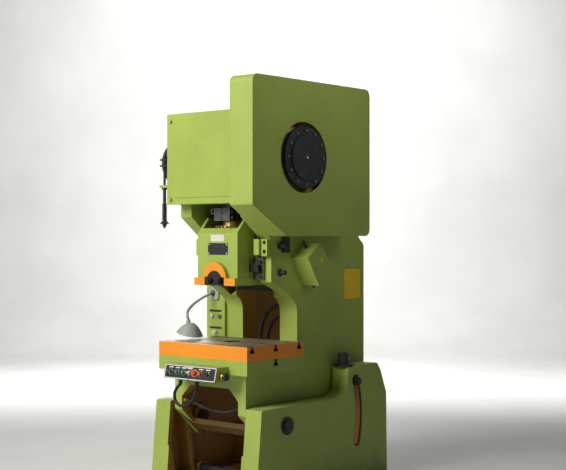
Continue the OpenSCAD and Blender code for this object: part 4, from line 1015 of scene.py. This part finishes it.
# Turned profiles of the controls, as radius and height in metres
RING_PROFILE = [
    (0.0172, 0.0), (0.0222, 0.0), (0.0228, 0.001), (0.0218, 0.004), (0.0185, 0.0062),
    (0.0172, 0.0062), (0.0172, 0.0),
]
LOCK_PROFILE = [(0.0, 0.0), (0.006, 0.0), (0.0055, 0.002), (0.0, 0.0025)]
COLLAR_PROFILE = [
    (0.026, 0.0), (0.0305, 0.0), (0.031, 0.001), (0.031, 0.012), (0.0295, 0.014),
    (0.0285, 0.0205), (0.0275, 0.0222), (0.026, 0.0222), (0.026, 0.0),
]
KNOB_PROFILE = [
    (0.0, -0.028), (0.0158, -0.028), (0.0158, 0.006), (0.0262, 0.006), (0.0285, 0.0085),
    (0.029, 0.012), (0.0285, 0.0165), (0.0262, 0.021), (0.021, 0.025), (0.013, 0.0275),
    (0.0, 0.0285),
]
STOP_PROFILE = [
    (0.0172, 0.0), (0.027, 0.0), (0.0275, 0.002), (0.0265, 0.004), (0.0172, 0.004),
    (0.0172, 0.0),
]
LENS_PROFILE = [(0.0, 0.0), (0.015, 0.0), (0.0145, 0.004), (0.010, 0.0075), (0.0, 0.009)]


class PRESS_OT_controls(PressOperator, bpy.types.Operator):
    """Adds the rings, strips and small parts of the controls"""

    bl_idname = "press.controls"
    bl_label = "Controls"

    def execute(self, context):
        ringed = [(i, x) for i, x in enumerate(CONTROLS) if i != STOP_NUMBER]
        strips = [
            (0.05 if i == MODE_NUMBER else 0.044, 0.0085, 0.0008, 0.001, on_panel(x, 0.0305))
            for i, x in ringed
        ]
        strips.append((0.09, 0.005, 0.0008, 0.001, on_panel(-0.02, 0.0383)))
        plates("panel_strips", "pale_plate", "frame", strips)
        bm = bmesh.new()
        for _, x in ringed:
            lathe_mesh(bm, RING_PROFILE, on_panel(x))
        lathe_mesh(bm, LOCK_PROFILE, on_panel(-0.004, -0.045, 0.005), 20)
        solid("control_rings", bm, "ring", "frame")
        for side, sign, along in (("right", 1, RIGHT), ("left", -1, LEFT)):
            base, knob = (
                at(PANEL_AT.x + sign * away, PALM_Y, PALM_Z, along) for away in (0.25, 0.272)
            )
            turned(f"palm_collar_{side}", "brass", "frame", "bronze", COLLAR_PROFILE, base, 40)
            cap = turned(
                f"palm_knob_{side}",
                "button_black",
                f"palm_{side}",
                "button_black",
                KNOB_PROFILE,
                knob,
                40,
            )
            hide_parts(f"palm_button_{side}")
        place = on_panel(CONTROLS[STOP_NUMBER])
        turned("stop_ring", "yellow_ring", "frame", "button_red", STOP_PROFILE, place, 40)
        place = at(-0.474, -0.115, 1.18, FRONT, UP)
        turned("pilot_lens", "bulb", "frame", "button_white", LENS_PROFILE, place, 28)
        return {"FINISHED"}


class PRESS_OT_rod_clamp(PressOperator, bpy.types.Operator):
    """Adds the eye bolt and the hexagon bolt that pinch the rod onto its adjusting screw"""

    bl_idname = "press.rod_clamp"
    bl_label = "Rod clamp"

    def execute(self, context):
        y, bolt_z, eye_z = -0.47, COVER_LOW + 0.022, COVER_LOW + 0.068
        far, size = 0.0765, (0.030, 0.016)
        bm = bmesh.new()
        tube_mesh(bm, [(-0.096, y, bolt_z), (0.088, y, bolt_z)], 0.0088)
        hexagon_at(bm, at(far, y, bolt_z, RIGHT), *size)
        hexagon_at(bm, at(-far, y, bolt_z, LEFT), *size)
        tube_mesh(bm, [(-0.096, y, eye_z), (0.088, y, eye_z)], 0.0088)
        hexagon_at(bm, at(far, y, eye_z, RIGHT), *size)
        solid("rod_clamp_bolts", bm, "black", "rod")
        turns = [2 * math.pi * k / 24 for k in range(25)]
        ring = [(-0.112 + 0.018 * math.cos(a), y, eye_z + 0.018 * math.sin(a)) for a in turns]
        bm = bmesh.new()
        tube_mesh(bm, ring, 0.0065, 12, caps=False)
        washer = [(0.0, 0.0), (0.014, 0.0), (0.014, 0.006), (0.0, 0.006)]
        lathe_mesh(bm, washer, at(-far, y, eye_z, LEFT), 20)
        solid("rod_clamp_eye", bm, "steel", "rod")
        return {"FINISHED"}


class PRESS_OT_brake_fittings(PressOperator, bpy.types.Operator):
    """Adds the brake rod's spring and the rivets of the brake band"""

    bl_idname = "press.brake_fittings"
    bl_label = "Brake spring and rivets"

    def execute(self, context):
        x, y = -0.505, -0.575
        turns, per_turn, radius = 11, 20, 0.0165
        path = []
        for k in range(turns * per_turn + 1):
            a = 2 * math.pi * k / per_turn
            z = COVER_LOW + (0.003 + 0.114 * k / (turns * per_turn))
            path.append((x + radius * math.cos(a), y + radius * math.sin(a), z))
        bm = bmesh.new()
        tube_mesh(bm, path, 0.0034, 8)
        solid("brake_spring", bm, "black", "frame", 60)
        y, z = CRANK
        pairs, radius = 14, 0.170
        points, facing = [], []
        for k in range(pairs):
            a = 2 * math.pi * (k + 0.5) / pairs
            in_band_gap = abs(math.sin(a)) < 0.2 and math.cos(a) < 0
            if in_band_gap:
                continue
            for dx in (-0.022, 0.022):
                points.append((x + dx, y + radius * math.cos(a), z + radius * math.sin(a)))
                facing.append((0, math.cos(a), math.sin(a)))
        repeat("band_rivets", points, facing, lambda b: round_head(b, 0.0075, 0.004))
        return {"FINISHED"}


# The lamp: the gooseneck's route, the shade's neck and lean, and the turned profiles
LAMP_ROUTE = [
    (-0.458, -0.124, 1.352), (-0.461, -0.150, 1.347), (-0.477, -0.210, 1.320),
    (-0.484, -0.275, 1.288), (-0.474, -0.340, 1.255), (-0.448, -0.395, 1.226),
    (-0.414, -0.432, 1.202), (-0.394, -0.448, 1.186), (-0.386, -0.450, 1.1683),
]
LAMP_NECK = (-0.386, -0.450, 1.168)
LAMP_AT, LAMP_LEAN = (-0.356, -0.450, 1.128), math.radians(14)
LAMP_FOOT = [
    (0.0, 0.0), (0.0225, 0.0), (0.0225, 0.004), (0.0135, 0.014), (0.0125, 0.024), (0.0, 0.024),
]
LAMP_BULB = [
    (0.0, 0.012), (0.017, 0.012), (0.017, -0.012), (0.013, -0.014), (0.015, -0.02),
    (0.0245, -0.034), (0.0275, -0.046), (0.0245, -0.058), (0.016, -0.067), (0.0, -0.071),
]
SHADE_STEPS = [k / 20 for k in range(21)]
LAMP_SHADE = (
    [(0.0, 0.024), (0.010, 0.0237), (0.018, 0.0217), (0.028, 0.0163)]
    + [(0.038 + 0.059 * t, 0.010 - 0.068 * t**1.4) for t in SHADE_STEPS]
    + [(0.0985, -0.0585), (0.0987, -0.0602), (0.0972, -0.0612), (0.0952, -0.0603)]
    + [(0.035 + 0.059 * t, 0.006 - 0.065 * t**1.4) for t in reversed(SHADE_STEPS)]
    + [(0.0, 0.018)]
)
LAMP_SOCKET = [
    (0.0, -0.030), (0.0155, -0.030), (0.0155, -0.011), (0.0163, -0.010), (0.0163, -0.007),
    (0.0155, -0.006), (0.0155, -0.002), (0.013, 0.0005), (0.0115, 0.006), (0.0, 0.006),
]


class PRESS_OT_lamp(PressOperator, bpy.types.Operator):
    """Adds the work lamp's ribbed gooseneck, spun shade and bulb, and its plate's screws"""

    bl_idname = "press.lamp"
    bl_label = "Work lamp"

    def execute(self, context):
        bm = bmesh.new()
        tube_mesh(bm, smooth_path(LAMP_ROUTE, 26), lambda i: 0.0087 + 0.0011 * (i % 2))
        lathe_mesh(bm, LAMP_FOOT, at(-0.458, -0.1175, 1.352, FRONT), 28)
        neck = solid("lamp_gooseneck", bm, "neck", "frame", 40)
        neck.data.materials.append(FINISHES["black"])
        for face in neck.data.polygons:
            if face.center.y > -0.1425:
                face.material_index = 1
        place = Matrix.Translation(LAMP_AT) @ Matrix.Rotation(LAMP_LEAN, 4, "Y")
        turned("lamp_bulb", "bulb", "frame", "button_white", LAMP_BULB, place, 32, 50)
        bm = bmesh.new()
        lathe_mesh(bm, LAMP_SHADE, place, 64)
        lathe_mesh(bm, LAMP_SOCKET, Matrix.Translation(LAMP_NECK))
        shade = solid("lamp_spun_shade", bm, "grey", "frame", 40)
        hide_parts("lamp_shade")
        repeat(
            "lamp_plate_screws",
            four_about(-0.445, -0.118, 1.353, 0.031, 0, 0.041),
            [FRONT] * 4,
            lambda b: round_head(b, 0.005, 0.0025),
        )
        return {"FINISHED"}


class PRESS_OT_guard_fittings(PressOperator, bpy.types.Operator):
    """Adds the clutch cap's centre and the screws along the guard's rear and upper edges"""

    bl_idname = "press.guard_fittings"
    bl_label = "Guard and cap fittings"

    def execute(self, context):
        button = [(0.0, -0.001), (0.0085, -0.001), (0.0085, 0.003), (0.0065, 0.005), (0.0, 0.005)]
        place = at(0.702, *CRANK, RIGHT, UP)
        turned("cap_centre", "button_white", "gear", "grey_paint", button, place, 20)
        x = 0.4725
        behind = [(x, 0.3515, 1.88 + k * 0.22) for k in range(5)]
        above = [(x, 0.25 - k * 0.2, 2.8475) for k in range(6)]
        repeat(
            "guard_screws",
            behind + above,
            [(0, 1, 0)] * len(behind) + [UP] * len(above),
            lambda b: hexagon_at(b, Matrix.Identity(4), 0.008, 0.0035),
        )
        return {"FINISHED"}


# Each cord's route through the points of its path, and its radius, in metres
CORDS = {
    "loop_cable": (
        [
            (-0.170, -0.740, 0.77231), (-0.172, -0.740, 0.745), (-0.205, -0.738, 0.715),
            (-0.236, -0.734, 0.672), (-0.234, -0.730, 0.624), (-0.198, -0.728, 0.592),
            (-0.150, -0.728, 0.586), (-0.100, -0.728, 0.608), (-0.055, -0.730, 0.645),
            (-0.024, -0.734, 0.695), (-0.012, -0.739, 0.740), (-0.010, -0.740, 0.77231),
        ],
        0.011,
    ),
    "arch_cable": (
        [
            (-0.259, -0.592, 0.608), (-0.232, -0.592, 0.606), (-0.150, -0.594, 0.588),
            (-0.060, -0.596, 0.566), (0.050, -0.598, 0.552), (0.150, -0.596, 0.558),
            (0.232, -0.592, 0.584), (0.259, -0.592, 0.586),
        ],
        0.011,
    ),
    "throat_hose_upper": (
        [
            (0.157, -0.010, 1.290), (0.130, -0.010, 1.285), (0.060, -0.008, 1.262),
            (0.000, -0.004, 1.225), (-0.050, 0.002, 1.165), (-0.080, 0.008, 1.100),
            (-0.092, 0.012, 1.040), (-0.095, 0.014, 1.000), (-0.095, 0.014, 0.946),
        ],
        0.015,
    ),
    "throat_hose_lower": (
        [
            (0.157, 0.030, 1.205), (0.130, 0.030, 1.203), (0.075, 0.032, 1.190),
            (0.020, 0.036, 1.160), (-0.020, 0.040, 1.110), (-0.044, 0.042, 1.050),
            (-0.050, 0.044, 1.000), (-0.050, 0.044, 0.946),
        ],
        0.015,
    ),
}
# The tapered, ribbed sleeve where a cord leaves its gland: its length and steps, then its wall
# at the gland, what the wall loses towards the end, and the height of a rib
RELIEF, RELIEF_STEP = 0.036, 0.0018
RELIEF_WALL, RELIEF_TAPER, RELIEF_RIB = 0.0045, 0.0038, 0.0009


class PRESS_OT_cables(PressOperator, bpy.types.Operator):
    """Adds the two cables and the two air hoses along their routes"""

    bl_idname = "press.cables"
    bl_label = "Cables and hoses"

    def execute(self, context):
        for name, (points, radius) in CORDS.items():
            path = smooth_path(points, 5)
            bm = bmesh.new()
            tube_mesh(bm, path, radius)
            piece = solid(name + "_skin", bm, "rubber", "frame", 60)
            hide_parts(name)
            bm = bmesh.new()
            for ends in (points, points[::-1]):
                self.add_relief(bm, smooth_path(ends, 30), radius)
            reliefs = solid(name + "_reliefs", bm, "rubber", "frame", 50)
        return {"FINISHED"}

    @staticmethod
    def add_relief(bm, path, radius):
        """A sleeve along the start of a path, from even steps of it."""
        part, gone, step = [path[0]], 0.0, 0.0
        for a, b in zip(path, path[1:]):
            gone += (b - a).length
            step += (b - a).length
            if gone > RELIEF:
                break
            if step >= RELIEF_STEP:
                part.append(b)
                step = 0.0
        last = len(part) - 1

        def outer(i):
            rib = RELIEF_RIB if i % 4 < 2 and i < last else 0.0
            return radius + RELIEF_WALL - RELIEF_TAPER * i / last + rib

        tube_mesh(bm, part, outer, 20)


OPERATORS = (
    PRESS_OT_finishes,
    PRESS_OT_stage,
    PRESS_OT_cables,
    PRESS_OT_plates,
    PRESS_OT_controls,
    PRESS_OT_guard_fittings,
    PRESS_OT_rod_clamp,
    PRESS_OT_brake_fittings,
    PRESS_OT_lamp,
)


class PRESS_PT_sidebar(bpy.types.Panel):
    """Lists the steps that dress the press"""

    bl_label = "Stamping press"
    bl_idname = "PRESS_PT_sidebar"
    bl_space_type = "VIEW_3D"
    bl_region_type = "UI"
    bl_category = "Press"

    def draw(self, context):
        for operator in OPERATORS:
            self.layout.operator(operator.bl_idname)
        settings = context.scene.press
        for group in (settings.paint, settings.fittings, settings.stage):
            box = self.layout.box()
            for key in group.__annotations__:
                box.prop(group, key)


CLASSES = (PressPaint, PressFittings, PressStage, PressSettings, *OPERATORS, PRESS_PT_sidebar)


def register():
    for cls in CLASSES:
        bpy.utils.register_class(cls)
    bpy.types.Scene.press = bpy.props.PointerProperty(type=PressSettings)


def unregister():
    del bpy.types.Scene.press
    for cls in reversed(CLASSES):
        bpy.utils.unregister_class(cls)


def main():
    register()
    for operator in OPERATORS:
        getattr(bpy.ops.press, operator.bl_idname.split(".")[1])()


if __name__ == "__main__":
    main()
